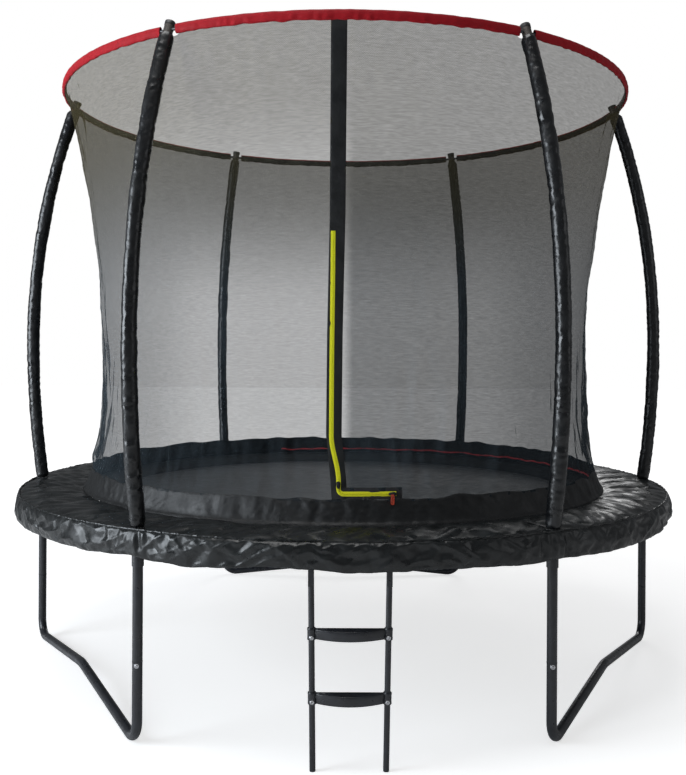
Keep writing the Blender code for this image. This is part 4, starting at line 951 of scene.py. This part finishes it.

# %% [markdown]
# Below the net, a closed black band laps over the pad's inner edge, and then goes in and
# down to the mat's hem. The mat moves down when someone jumps, but the band is one
# fixed mesh that stays where it is drawn. A red cord is sewn on its inner side, from the
# right round to the back.

# %% Net's foot band and piping
def band_grid(columns=900):
    turns = np.arange(columns) / columns * 360.0
    wall = np.linspace(BAND_TOP + 0.003, NET_FOLD[1], 12)
    profile = [(net_reach(h) + 0.0012, h) for h in wall[:-1]]
    profile += [(1.2440, 0.8070), (1.2500, 0.7990), (1.2580, 0.7940), (1.2585, 0.7908), (1.2480, 0.7886)]
    inward = [(1.2420 - 0.0760 * s, 0.7888 - 0.0416 * s) for s in np.linspace(0.0, 1.0, 10)]
    inward += [(1.1560, 0.7453), (1.1490, 0.7443)]
    profile = np.array(profile + inward)
    outer = profile
    inner = profile + np.array([-0.0016, 0.0016])
    loop = np.concatenate([outer, inner[::-1]])
    turn = turns[None]
    reach, height = loop[:, :1], loop[:, 1:]
    spread = around(reach, turn, height)
    push = 0.0012 * ripple(spread * (1, 1, 0.2), 0.060, 501) + 0.0006 * ripple(spread, 0.024, 502)
    slant = np.radians(turn) * 1.24 + 0.9 * (height - 0.81)
    pleat = 1 - np.abs(ripple(np.stack([slant, 0.1 * height + 0 * slant, 0 * slant], -1), 0.125, 504))
    push = push + 0.0026 * np.clip(pleat, -0.4, 1.0)
    lift = 0.0028 * ripple(around(1.2, turn, 0.0), 0.16, 503) * smooth_step(height, 0.86, 0.885)
    grid = around(reach + push * smooth_step(height, 0.752, 0.80), turn, height + lift)
    return np.concatenate([grid, grid[:, :1]], axis=1).transpose(1, 0, 2)


band_mesh = grid_mesh("net_foot_band", band_grid(), wrap=True, sharp=60.0, across=(0.28, 7.7), flip=True)
band = add_piece("net_foot_band", band_mesh, BAND_CLOTH, body=None, stands_for=["net_base_band"])
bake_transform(band)
print("foot band:", len(band_mesh.polygons), "faces")

# %% Red piping
turns = np.linspace(108.0, -8.0, 420)
wave = around(1.2, turns, 0.0)
line = around(1.2345 + 0.0012 * ripple(wave, 0.05, 511), turns, 0.8135 + 0.0020 * ripple(wave, 0.12, 512))
thick = np.clip(0.0042 + 0.0010 * ripple(wave, 0.045, 513), 0.0014, 0.005)
piping_mesh = grid_mesh("red_piping", swept(line, thick, 8), wrap=True, caps=True)
piping = add_piece("red_piping", piping_mesh, PIPING_RED)
print("foot band from", BAND_TOP, "to", 0.744, "m")

# %% [markdown]
# The mat is woven sheet with a folded, stitched webbing hem. Steel V-rings are sewn into
# the hem, one for each spring. The springs are real coils with hooked ends, each one a
# fixed mesh from the frame to the mat.

# %% Mat, hem, rings and springs
turns = np.arange(240) / 240 * 360.0
mat_radii = np.concatenate([np.linspace(0.004, 1.12, 46), np.linspace(1.125, 1.150, 4)])
top_face = np.stack([around(reach, turns, 0.0) for reach in mat_radii])
top_face[..., 2] = FRAME_HEIGHT + 0.0015 + 0.0006 * ripple(top_face, 0.22, 601)
under = top_face - np.array([0, 0, 0.0018])
mat_grid = np.concatenate([top_face, under[::-1]])
mat_mesh = grid_mesh("mat_cloth", mat_grid, wrap=True, caps=True, sharp=60.0, flip=True)
mat = add_piece("mat_cloth", mat_mesh, MAT_WEAVE, "mat", ["jump_mat"])
hem_top = [(1.122, 0.0016), (1.124, 0.0034), (1.131, 0.0040), (1.152, 0.0041), (1.1635, 0.0036), (1.1652, 0.0012)]
hem_profile = hem_top + [(reach, -rise) for reach, rise in hem_top[::-1]]
turns = np.arange(540) / 540 * 360.0
hem_grid = np.stack([around(reach, turns, FRAME_HEIGHT + rise) for reach, rise in hem_profile])
hem_grid = np.concatenate([hem_grid, hem_grid[:1]])
hem_mesh = grid_mesh("mat_hem", hem_grid, wrap=True, sharp=50.0, across=(7.3, 0.1))
hem = add_piece("mat_hem", hem_mesh, WEBBING, "mat")
print("mat and hem:", len(mat_mesh.polygons), "and", len(hem_mesh.polygons), "faces")


# %% Hem stitches
def stitch_rows():
    """Two rows of short stitches on the hem, as thin raised bars."""
    points, faces = [], []
    for reach in (1.133, 1.154):
        for turn in np.arange(0, 360, 0.42):
            at = len(points)
            for rise, grow in ((0.0039, 1.0), (0.0048, 0.6)):
                for a, b in ((-1, -1), (1, -1), (1, 1), (-1, 1)):
                    points.append(around(reach + a * 0.0006 * grow, turn + b * 0.13 * grow, FRAME_HEIGHT + rise))
            faces.append([at + 4, at + 5, at + 6, at + 7])
            faces += [[at + k, at + (k + 1) % 4, at + (k + 1) % 4 + 4, at + k + 4] for k in range(4)]
            faces.append([at + 3, at + 2, at + 1, at])
    return mesh_of("hem_stitches", np.array(points), faces)


STITCH = plain_finish("grey_thread", (0.16, 0.16, 0.17), (0.09, 0.09, 0.10), 0.003, 0.7, 0.0001)
stitches = add_piece("hem_stitches", stitch_rows(), STITCH, "mat")

print("stitches:", len(stitches.data.polygons) // 6)

# %% Rings on the hem
SPRING_TURNS = [(number + 0.5) * 360.0 / 54 for number in range(54)]


def ring_wire():
    """A V-ring of 4 mm wire, drawn at +X with its point towards the frame."""
    corners = np.array([(1.150, -0.013), (1.150, 0.013), (1.190, 0.0016), (1.190, -0.0016)])
    corners = np.vstack([corners, corners[:1]])
    path = np.concatenate([np.linspace(a, b, 5)[:-1] for a, b in zip(corners, corners[1:])])
    path = np.vstack([path, path[:1]])
    return grid_mesh("ring_wire", swept(np.column_stack([path, np.zeros(len(path))]), 0.0019, 8), wrap=True)


wire = ring_wire()
spins = [Matrix.Translation((0, 0, FRAME_HEIGHT)) @ Matrix.Rotation(radians(turn), 4, "Z") for turn in SPRING_TURNS]
rings = add_piece("mat_rings", joined("mat_rings", [wire] * 54, spins), ZINC, "mat")
print("rings:", len(spins))


# %% Coil springs
def spring_path():
    """Hook, tapered end, coils, tapered end and hook, along +X."""
    start, end, coil = 1.214, 1.446, 0.0058
    turns = 26
    t = np.linspace(0, 1, turns * 9 + 1)
    fade = np.minimum(smooth_step(t, 0.0, 0.06), smooth_step(1 - t, 0.0, 0.06))
    angle = t * turns * tau
    helix = np.stack([start + (end - start) * t, coil * fade * np.cos(angle), coil * fade * np.sin(angle)], -1)
    inner = [(1.190, 0, 0.004), (1.1855, 0, 0.0015), (1.1865, 0, -0.003), (1.193, 0, -0.0048), (1.204, 0, -0.002)]
    outer = [(1.456, 0, -0.001), (1.466, 0, -0.0045), (1.4725, 0, -0.0052), (1.4770, 0, -0.0018), (1.4755, 0, 0.003)]
    return np.vstack([inner, helix, outer])


SPRING_WIRE = 0.0014
coil_rings = swept(spring_path() + np.array([0, 0, FRAME_HEIGHT]), SPRING_WIRE, 5)
for number, turn in enumerate(SPRING_TURNS, 1):
    spin = np.array(Matrix.Rotation(radians(turn), 3, "Z"))
    coil_mesh = grid_mesh(f"coil_spring_{number}", coil_rings @ spin.T, wrap=True, caps=True, sharp=0)
    spring = add_piece(f"coil_spring_{number}", coil_mesh, ZINC, body=None, stands_for=["spring_set"])
    at_frame, at_mat = around(1.470, turn, FRAME_HEIGHT), around(1.190, turn, FRAME_HEIGHT)
    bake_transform(spring)
print("mat radius", MAT_RADIUS, "with", len(SPRING_TURNS), "springs")

# %% [markdown]
# The pad is a foam ring in a loose PVC cover, and its skirt hangs from a gathered seam.
# Creases in such sheet are hard to draw by hand, so cloth simulation makes them: the seams
# are pinned, and the sheet between them is told that it is a little too big, so it
# buckles into folds. How far a point may move is capped, and the result is kept as mesh.

# %% Cloth helper
BUCKLE_FRAMES, BUCKLE_CAP = 16, 0.008


def buckle(piece, held, grow, bend):
    """Runs cloth on a piece with some points held, and keeps the result, its moves capped."""
    scene = bpy.context.scene
    group = piece.vertex_groups.new(name="held")
    for index in np.flatnonzero(held):
        group.add([int(index)], 1.0, "REPLACE")
    cloth = piece.modifiers.new("cloth", "CLOTH")
    cloth.settings.quality = 5
    cloth.settings.mass = 0.15
    cloth.settings.tension_stiffness = 25
    cloth.settings.compression_stiffness = 25
    cloth.settings.shear_stiffness = 15
    cloth.settings.bending_stiffness = bend
    cloth.settings.shrink_min = -grow
    cloth.settings.vertex_group_mass = "held"
    cloth.settings.effector_weights.gravity = 0.0
    cloth.collision_settings.use_collision = False
    cloth.point_cache.frame_start = 1
    cloth.point_cache.frame_end = BUCKLE_FRAMES
    for number in range(1, BUCKLE_FRAMES + 1):
        scene.frame_set(number)
    settled = piece.evaluated_get(bpy.context.evaluated_depsgraph_get()).to_mesh()
    after = np.empty(len(settled.vertices) * 3)
    settled.vertices.foreach_get("co", after)
    before = np.empty_like(after)
    piece.data.vertices.foreach_get("co", before)
    move = (after - before).reshape(-1, 3)
    far = np.linalg.norm(move, axis=1, keepdims=True)
    move *= np.minimum(1.0, BUCKLE_CAP * np.tanh(far / BUCKLE_CAP) / np.maximum(far, 1e-9))
    piece.modifiers.remove(cloth)
    piece.vertex_groups.remove(group)
    piece.data.vertices.foreach_set("co", (before + move.ravel()).astype(np.float32))
    piece.data.update()
    scene.frame_set(1)
    print(f"{piece.name}: moved up to {1000 * np.linalg.norm(move, axis=1).max():.1f} mm")

# %% [markdown]
# The cover is one closed outline carried round the ring: a crowned top, a rounded outer
# edge and a flat underside. Slanted pleats are raised on the top first, so that the
# buckling starts from them. The sheet is held at both seams and close round each pole.

# %% Pad cover
PAD_SIDES = 1080
SEAM_RADIUS = 1.5395


def crown(reach):
    """Height of the pad's top, which rises a little between its inner and outer seams."""
    share = np.clip((np.asarray(reach) - PAD_IN) / (SEAM_RADIUS - PAD_IN), 0, 1)
    return PAD_HIGH + 0.011 * (4 * share * (1 - share)) ** 0.6


def degrees_to_post(turn):
    return np.abs((np.asarray(turn) + 30.0) % 60.0 - 30.0)


def pad_section():
    """The pad's outline as (radius, height): over the top, down the outside and back below."""
    over = [(reach, float(crown(reach))) for reach in np.linspace(PAD_IN + 0.001, SEAM_RADIUS, 25)]
    edge = [(1.5445, 0.785), (1.5460, 0.779), (1.5440, 0.7715)]
    below = [(reach, PAD_LOW + 0.0002) for reach in np.linspace(1.538, PAD_IN + 0.006, 7)]
    inner = [(PAD_IN + 0.0005, PAD_LOW + 0.005), (PAD_IN, 0.781)]
    return np.array(over + edge + below + inner + over[:1])


print("pad outline:", len(pad_section()), "points, crown at", round(float(crown(1.4)), 3), "m")

# %% Pleats and buckling of the cover
section = pad_section()
turns = np.arange(PAD_SIDES) / PAD_SIDES * 360.0
pad_grid = np.stack([around(reach, turns, height) for reach, height in section])
lane = (section[:, 0] - PAD_IN) / (SEAM_RADIUS - PAD_IN)
on_top = np.arange(len(section)) < 25
slant = turns[None] + 9.0 * lane[:, None]
pleat = ripple(np.stack([slant * 0.0262, 0.15 * lane[:, None] + 0 * slant, 0 * slant], -1), 0.085, 701)
loose = (on_top * np.sin(np.clip(lane, 0, 1) * pi) ** 0.5)[:, None]
pad_grid[..., 2] += 0.0022 * pleat * loose
held = np.ones(pad_grid.shape[:2], bool)
held[1:24] = False
held |= (degrees_to_post(turns)[None] < 0.45) & on_top[:, None]
held |= (degrees_to_post(turns)[None] < 1.3) & (section[:, :1] > 1.47)
pad_mesh = grid_mesh("pad_cover", pad_grid, wrap=True, sharp=0, across=(8.8, 0.66), flip=True)
pad = bpy.data.objects.new("pad_cover", pad_mesh)
bpy.context.scene.collection.objects.link(pad)
buckle(pad, held.ravel(), grow=0.030, bend=0.9)


print("pad grid:", pad_grid.shape[0], "by", pad_grid.shape[1])

# %% Cover as a piece
def softened(piece):
    """One level of subdivision, applied."""
    step = piece.modifiers.new("soft", "SUBSURF")
    step.levels = step.render_levels = 1
    graph = bpy.context.evaluated_depsgraph_get()
    mesh = bpy.data.meshes.new_from_object(piece.evaluated_get(graph))
    piece.modifiers.remove(step)
    piece.data = mesh


def as_piece(piece, finish, stands_for):
    piece.data.materials.append(finish)
    piece.data.shade_smooth()
    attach(piece, "frame")
    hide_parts(*stands_for)


softened(pad)
as_piece(pad, PAD_PVC, ["safety_pad"])
print("pad cover:", len(pad.data.polygons), "faces")

# %% [markdown]
# The skirt is the same sheet, gathered on a cord at the pad's rim and drawn in below by
# an elastic hem. It starts with faint level folds; the buckling turns them into the long
# crumpled ones. Near each post the sheet is bunched, with its folds drawn together.

# %% Skirt
SKIRT_SIDES = 1500
skirt_profile = [(1.5390, 0.7925), (1.5462, 0.7890), (1.5500, 0.7800), (1.5515, 0.7640), (1.5520, 0.7400)]
skirt_profile += [(1.5515, 0.7180), (1.5500, 0.7000), (1.5450, 0.6885), (1.5395, 0.6862), (1.5350, 0.6892)]
skirt_profile = np.array(skirt_profile)
run = np.concatenate([[0], np.cumsum(np.linalg.norm(np.diff(skirt_profile, axis=0), axis=1))])
stations = np.linspace(0, run[-1], 24)
reach = np.interp(stations, run, skirt_profile[:, 0])[:, None]
height = np.interp(stations, run, skirt_profile[:, 1])[:, None]
turns = (np.arange(SKIRT_SIDES) / SKIRT_SIDES * 360.0)[None]
spread = around(reach, turns, height)
bunch = np.exp(-((degrees_to_post(turns) / 3.6) ** 2))
middle = np.sin(np.linspace(0, pi, 24))[:, None] ** 0.6
arc = np.radians(turns) * 1.55
drift = 0.030 * ripple(around(1.5, turns, 0.0), 0.55, 806)


def creases(along_share, lean, size, seed):
    """Ridges whose length is along_share of the way level, tilted by lean."""
    flat = along_share * spread[..., :2]
    place = np.stack(np.broadcast_arrays(flat[..., 0], flat[..., 1], height + drift + lean * arc), -1)
    return 1.0 - np.abs(ripple(place, size, seed))


print("skirt sheet:", round(float(run[-1]), 3), "m deep with its hem")

# %% Skirt cloth
level = creases(0.13, 0.0, 0.085, 801)
skew = creases(0.22, 0.05 * np.sin(arc * 2.3), 0.075, 803)
short = ripple(spread * (0.5, 0.5, 1.0), 0.040, 802)
drawn = ripple(spread * (1.0, 1.0, 0.25), 0.045, 807)
push = middle * (0.0044 * level * (1 - 0.7 * bunch) + 0.0026 * skew + 0.0007 * short + 0.0034 * drawn * bunch)
hem_wave = 0.0030 * ripple(around(1.5, turns, 0.0), 0.55, 804) + 0.0011 * ripple(around(1.5, turns, 0.0), 0.12, 805)
low_share = smooth_step(-height, -0.76, -0.69)
skirt_grid = around(reach + push - 0.003 * bunch * middle, turns, height + (hem_wave + 0.006 * bunch) * low_share)
skirt_mesh = grid_mesh("pad_skirt_cover", skirt_grid, wrap=True, sharp=0, across=(9.7, 0.14))
skirt = bpy.data.objects.new("pad_skirt_cover", skirt_mesh)
bpy.context.scene.collection.objects.link(skirt)
held = np.zeros(skirt_grid.shape[:2], bool)
held[0] = held[-1] = True
buckle(skirt, held.ravel(), grow=0.022, bend=0.30)
softened(skirt)
as_piece(skirt, PAD_PVC, ["pad_skirt"])
print("skirt:", len(skirt.data.polygons), "faces")

# %% [markdown]
# Three small things finish the pad: the puckered cord of the gathered seam, a welded strip
# over the joint at each post, and a gathered cuff where each pole comes through.

# %% Seam cord, strips and cuffs
turns = np.arange(2200) / 2200 * 360.0
rim = around(SEAM_RADIUS, turns, 0.0)
cord_line = around(SEAM_RADIUS + 0.0006 * ripple(rim, 0.03, 811), turns, 0.7932 + 0.0007 * ripple(rim, 0.05, 812))
cord_line = np.vstack([cord_line, cord_line[:1]])
fat = 0.0026 + 0.0011 * np.abs(ripple(np.vstack([rim, rim[:1]]), 0.0135, 813))
add_piece("gathered_seam", grid_mesh("gathered_seam", swept(cord_line, fat, 8), wrap=True), PAD_PVC)

for number, post in enumerate(POSTS, 1):
    reach = np.linspace(PAD_IN + 0.012, 1.472, 40)[:, None]
    lanes = np.linspace(-1, 1, 9)[None]
    spots = np.stack([reach + 0 * lanes, lanes * 0.01 + 0 * reach, 0 * reach * lanes], -1)
    wobble = 0.0008 * ripple(spots, 0.03, 820 + number)
    turn = post + np.degrees(0.0085 * lanes / reach)
    upper = around(reach, turn, crown(reach) + 0.0016 - 0.0011 * lanes**4 + 0.4 * wobble)
    lower = around(reach, turn, crown(reach) - 0.0008)
    strip = grid_mesh("weld_strip", np.concatenate([upper, lower[:, ::-1]], axis=1), wrap=True, caps=True, sharp=50.0)
    add_piece(f"weld_strip_{number}", strip, SLEEVE_PVC)
    spin = np.arange(97) / 96 * tau
    ring = np.stack([FRAME_RADIUS + 0.0272 * np.cos(spin), 0.0272 * np.sin(spin), 0.7945 + 0 * spin], -1)
    fat = 0.0034 + 0.0008 * np.cos(16 * spin) * (1 + 0.3 * np.sin(3 * spin))
    cuff_mesh = grid_mesh("pole_cuff", swept(ring, fat, 10), wrap=True)
    add_piece(f"pole_cuff_{number}", cuff_mesh, SLEEVE_PVC, turn=post)
print("pad details: 1 gathered seam,", len(POSTS), "strips and", len(POSTS), "cuffs")

# %% [markdown]
# The ladder hangs by two flat hooks on the front rail. Its side rails come a little closer
# together at the foot. Each step is a pressed tread with a bowed front apron and ribs on
# top, held by a collar and a bright screw at each end. All of it swings on the rail.

# %% Ladder
LADDER_X = 0.015
LADDER_Y = -sqrt(FRAME_RADIUS**2 - 0.15**2)
LADDER_TOP = 0.709
STEP_TOPS = (0.269, 0.489)


def ladder_rail_x(side, height):
    return LADDER_X + side * (0.126 + 0.009 * height / LADDER_TOP)


def strap_mesh(x):
    """Hook: a flat strap up from the side rail and over the frame rail."""
    middle = 0.0245
    turns = np.linspace(pi + acos(0.0105 / middle), radians(-15.0), 26)
    path = [(LADDER_Y - 0.0105, 0.634), (LADDER_Y - 0.0105, 0.66)]
    path += [(LADDER_Y + middle * cos(t), FRAME_HEIGHT + middle * sin(t)) for t in turns]
    path = np.array(path)
    along = np.gradient(path, axis=0)
    along /= np.linalg.norm(along, axis=1, keepdims=True)
    out = np.stack([-along[:, 1], along[:, 0]], -1)
    rounded = [(-1, -0.5), (-0.9, -1), (0.9, -1), (1, -0.5), (1, 0.5), (0.9, 1), (-0.9, 1), (-1, 0.5)]
    rows = []
    for spot, normal in zip(path, out):
        section = [(x + wide * 0.0098, *(spot + normal * deep * 0.0019)) for wide, deep in rounded]
        rows.append(section)
    return grid_mesh("strap", np.array(rows), wrap=True, caps=True, sharp=40.0)


print("ladder at y =", round(LADDER_Y, 3), "m")

# %% Treads and collars
def tread_mesh(top):
    """Pressed step: ribbed top, bowed front apron and a turned-down back edge."""
    stations = np.linspace(-1, 1, 61)
    half = ladder_rail_x(1, top - 0.018) - LADDER_X - 0.006
    rows = []
    for share in stations:
        front = LADDER_Y - 0.0045 - 0.0395 * (1 - share**2)
        back = LADDER_Y + 0.0060
        ribs = np.linspace(back - 0.003, front + 0.006, 19)
        rise = np.where(np.arange(19) % 3 == 1, 0.0, -0.0010)
        outer = [(back, top - 0.022), (back, top - 0.003), (back - 0.001, top - 0.001)]
        outer += list(zip(ribs, top + rise))
        corner = [(front + 0.0045 - 0.0045 * sin(a), top - 0.0055 + 0.0045 * cos(a)) for a in (0.3, 0.7, 1.1, 1.5)]
        apron = [(front - 0.0003, top - 0.016), (front, top - 0.026)]
        apron += [(front + 0.0006, top - 0.034), (front + 0.0016, top - 0.0358)]
        inside = [(front + 0.0032, top - 0.0350), (front + 0.0034, top - 0.009), (front + 0.008, top - 0.0045)]
        inside += [(back - 0.006, top - 0.0045), (back - 0.0028, top - 0.007), (back - 0.0028, top - 0.022)]
        loop = outer + corner + apron + inside
        rows.append([(LADDER_X + half * share, y, z) for y, z in loop])
    return grid_mesh("tread", np.array(rows), wrap=True, caps=True, sharp=35.0, flip=True)


def collar_mesh(side, top):
    profile = [(0.0112, -0.021), (0.0140, -0.0208), (0.0148, -0.0195), (0.0148, -0.012), (0.0143, -0.010)]
    profile += [(0.0143, 0.010), (0.0148, 0.012), (0.0148, 0.0185), (0.0140, 0.0198), (0.0112, 0.0200)]
    mesh = lathe_mesh("collar", profile, 28, flip=False)
    middle = top - 0.018
    place = Matrix.Translation((ladder_rail_x(side, middle), LADDER_Y, middle))
    return joined("collar", [mesh], [place @ Matrix.Rotation(side * 0.0127, 4, "Y")])


print("side rails", round(2 * (ladder_rail_x(1, 0.0) - LADDER_X), 3), "m apart at the foot")

# %% Ladder in place
for name, side in (("left", -1), ("right", 1)):
    heights = np.linspace(0.0, LADDER_TOP, 12)
    line = np.stack([ladder_rail_x(side, heights), np.full(12, LADDER_Y), heights], -1)
    rail = tube_mesh("ladder_tube", line, 0.0105, 0.0015, 20)
    cap_profile = [(0.0086, -0.008), (0.0086, 0.0), (0.0106, 0.0002)]
    cap_profile += [(0.0104, 0.0016), (0.006, 0.0028), (0.0005, 0.003)]
    cap = lathe_mesh("ladder_cap", cap_profile, 20)
    top_cap = joined("cap", [cap], [Matrix.Translation(line[-1])])
    mesh = joined(f"ladder_side_{name}", [rail, top_cap, strap_mesh(ladder_rail_x(side, LADDER_TOP))])
    add_piece(f"ladder_side_{name}", mesh, BLACK_STEEL, "ladder", [f"ladder_rail_{name}"])
ladder_screw = screw_mesh("ladder_screw", 0.0048, 0.0036)
for name, top in zip(("lower", "upper"), STEP_TOPS):
    mesh = joined(f"ladder_tread_{name}", [tread_mesh(top), collar_mesh(-1, top), collar_mesh(1, top)])
    add_piece(f"ladder_tread_{name}", mesh, BLACK_STEEL, "ladder", [f"ladder_step_{name}"])
    for side_name, side in (("left", -1), ("right", 1)):
        spot = (ladder_rail_x(side, top - 0.030), LADDER_Y - 0.0145, top - 0.030)
        head = add_piece(f"ladder_screw_{name}_{side_name}", ladder_screw, SCREW_STEEL, body=None)
        head.matrix_world = facing(spot, (0, -1, 0), 0.4)
        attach(head, "ladder")
print("ladder: 2 sides, 2 treads at", STEP_TOPS)

# %% [markdown]
# The studio is plain: a pale floor, a white surround and soft lights. The key light is up
# on the left, so that the covers' creases and the left sides of the poles catch it. The
# surround is brighter to the eye than as a light, which keeps the black covers black.
# The floor has painted light too: it glows to the eye only, less near the trampoline and
# near white far out.

# %% Floor and surround
FLOOR_HALF = 30.0
corners = [(x * FLOOR_HALF, y * FLOOR_HALF, 0) for x, y in ((-1, -1), (1, -1), (1, 1), (-1, 1))]
floor_mesh = mesh_of("floor", corners, [(0, 1, 2, 3)], 0)
FLOOR_PALE = plain_finish("pale_floor", (0.86, 0.86, 0.86), (0.83, 0.83, 0.83), 1.5, 0.8, 0.0002)
set_values(FLOOR_PALE, {"Emission Color": (1.0, 1.0, 1.0, 1.0)})
far_out = add_node(FLOOR_PALE, "ShaderNodeVectorMath", {0: places(FLOOR_PALE)}, operation="LENGTH").outputs["Value"]
# Painted light: a glow seen by the camera only, dimmer near the middle and near white far out.
glow = remap(FLOOR_PALE, far_out, 2.0, 7.0, 0.66, 0.98)
as_seen = add_node(FLOOR_PALE, "ShaderNodeLightPath", {}).outputs["Is Camera Ray"]
feed(FLOOR_PALE, calc(FLOOR_PALE, "MULTIPLY", glow, as_seen), "Emission Strength")
floor_mesh.materials.append(FLOOR_PALE)
floor = bpy.data.objects.new("floor", floor_mesh)
floor.location.z = -0.001
bpy.context.scene.collection.objects.link(floor)
print("floor:", 2 * FLOOR_HALF, "m wide")

# %% Surround
world = bpy.context.scene.world or bpy.data.worlds.new("surround")
bpy.context.scene.world = world
world.use_nodes = True
tree = world.node_tree
back = tree.nodes["Background"]
back.inputs["Color"].default_value = (0.93, 0.96, 1.0, 1.0)
seen = tree.nodes.new("ShaderNodeBackground")
seen.inputs["Color"].default_value = (1.0, 1.0, 1.0, 1.0)
seen.inputs["Strength"].default_value = 1.0
back.inputs["Strength"].default_value = 0.15
path = tree.nodes.new("ShaderNodeLightPath")
blend_node = tree.nodes.new("ShaderNodeMixShader")
tree.links.new(path.outputs["Is Camera Ray"], blend_node.inputs[0])
tree.links.new(back.outputs[0], blend_node.inputs[1])
tree.links.new(seen.outputs[0], blend_node.inputs[2])
tree.links.new(blend_node.outputs[0], tree.nodes["World Output"].inputs[0])
print("surround: strength", back.inputs["Strength"].default_value, "as a light")


# %% Lights
def soft_light(name, place, size, power, colour=(1, 1, 1)):
    data = bpy.data.lights.new(name, "AREA")
    data.shape = "DISK"
    data.size = size
    data.energy = power
    data.color = colour
    lamp = bpy.data.objects.new(name, data)
    lamp.location = place
    lamp.rotation_euler = (Vector((0, 0, 1.1)) - Vector(place)).to_track_quat("-Z", "Y").to_euler()
    bpy.context.scene.collection.objects.link(lamp)


soft_light("key_left", (-5.6, -2.9, 2.3), 3.8, 285, (0.86, 0.93, 1.0))
soft_light("fill_right", (5.5, -3.2, 2.6), 3.5, 14, (0.95, 0.97, 1.0))
soft_light("top", (-0.8, -1.2, 6.0), 4.0, 130)
soft_light("back", (1.5, 6.0, 3.5), 3.0, 60)
print("lights:", [lamp.name for lamp in bpy.data.lights])

# %% [markdown]
# The camera stands 4.7 m in front of the middle, a little over the net's waist, and looks
# level. A shift of the lens, not a tilt, brings the legs into view, so uprights stay upright.

# %% Camera
camera_data = bpy.data.cameras.new("camera")
camera_data.lens = 43.43
camera_data.sensor_width = 36.0
camera_data.shift_x = -0.0013
camera_data.shift_y = -0.0497
camera = bpy.data.objects.new("camera", camera_data)
bpy.context.scene.collection.objects.link(camera)
stand = Matrix.Translation((-0.033, -4.70, 1.445)) @ Matrix.Rotation(radians(-0.4), 4, "Z")
camera.matrix_world = stand @ Matrix.Rotation(radians(90), 4, "X") @ Matrix.Rotation(radians(0.3), 4, "Z")
bpy.context.scene.camera = camera
bpy.context.scene.view_settings.view_transform = "Standard"
print("camera at", tuple(round(v, 3) for v in camera.location))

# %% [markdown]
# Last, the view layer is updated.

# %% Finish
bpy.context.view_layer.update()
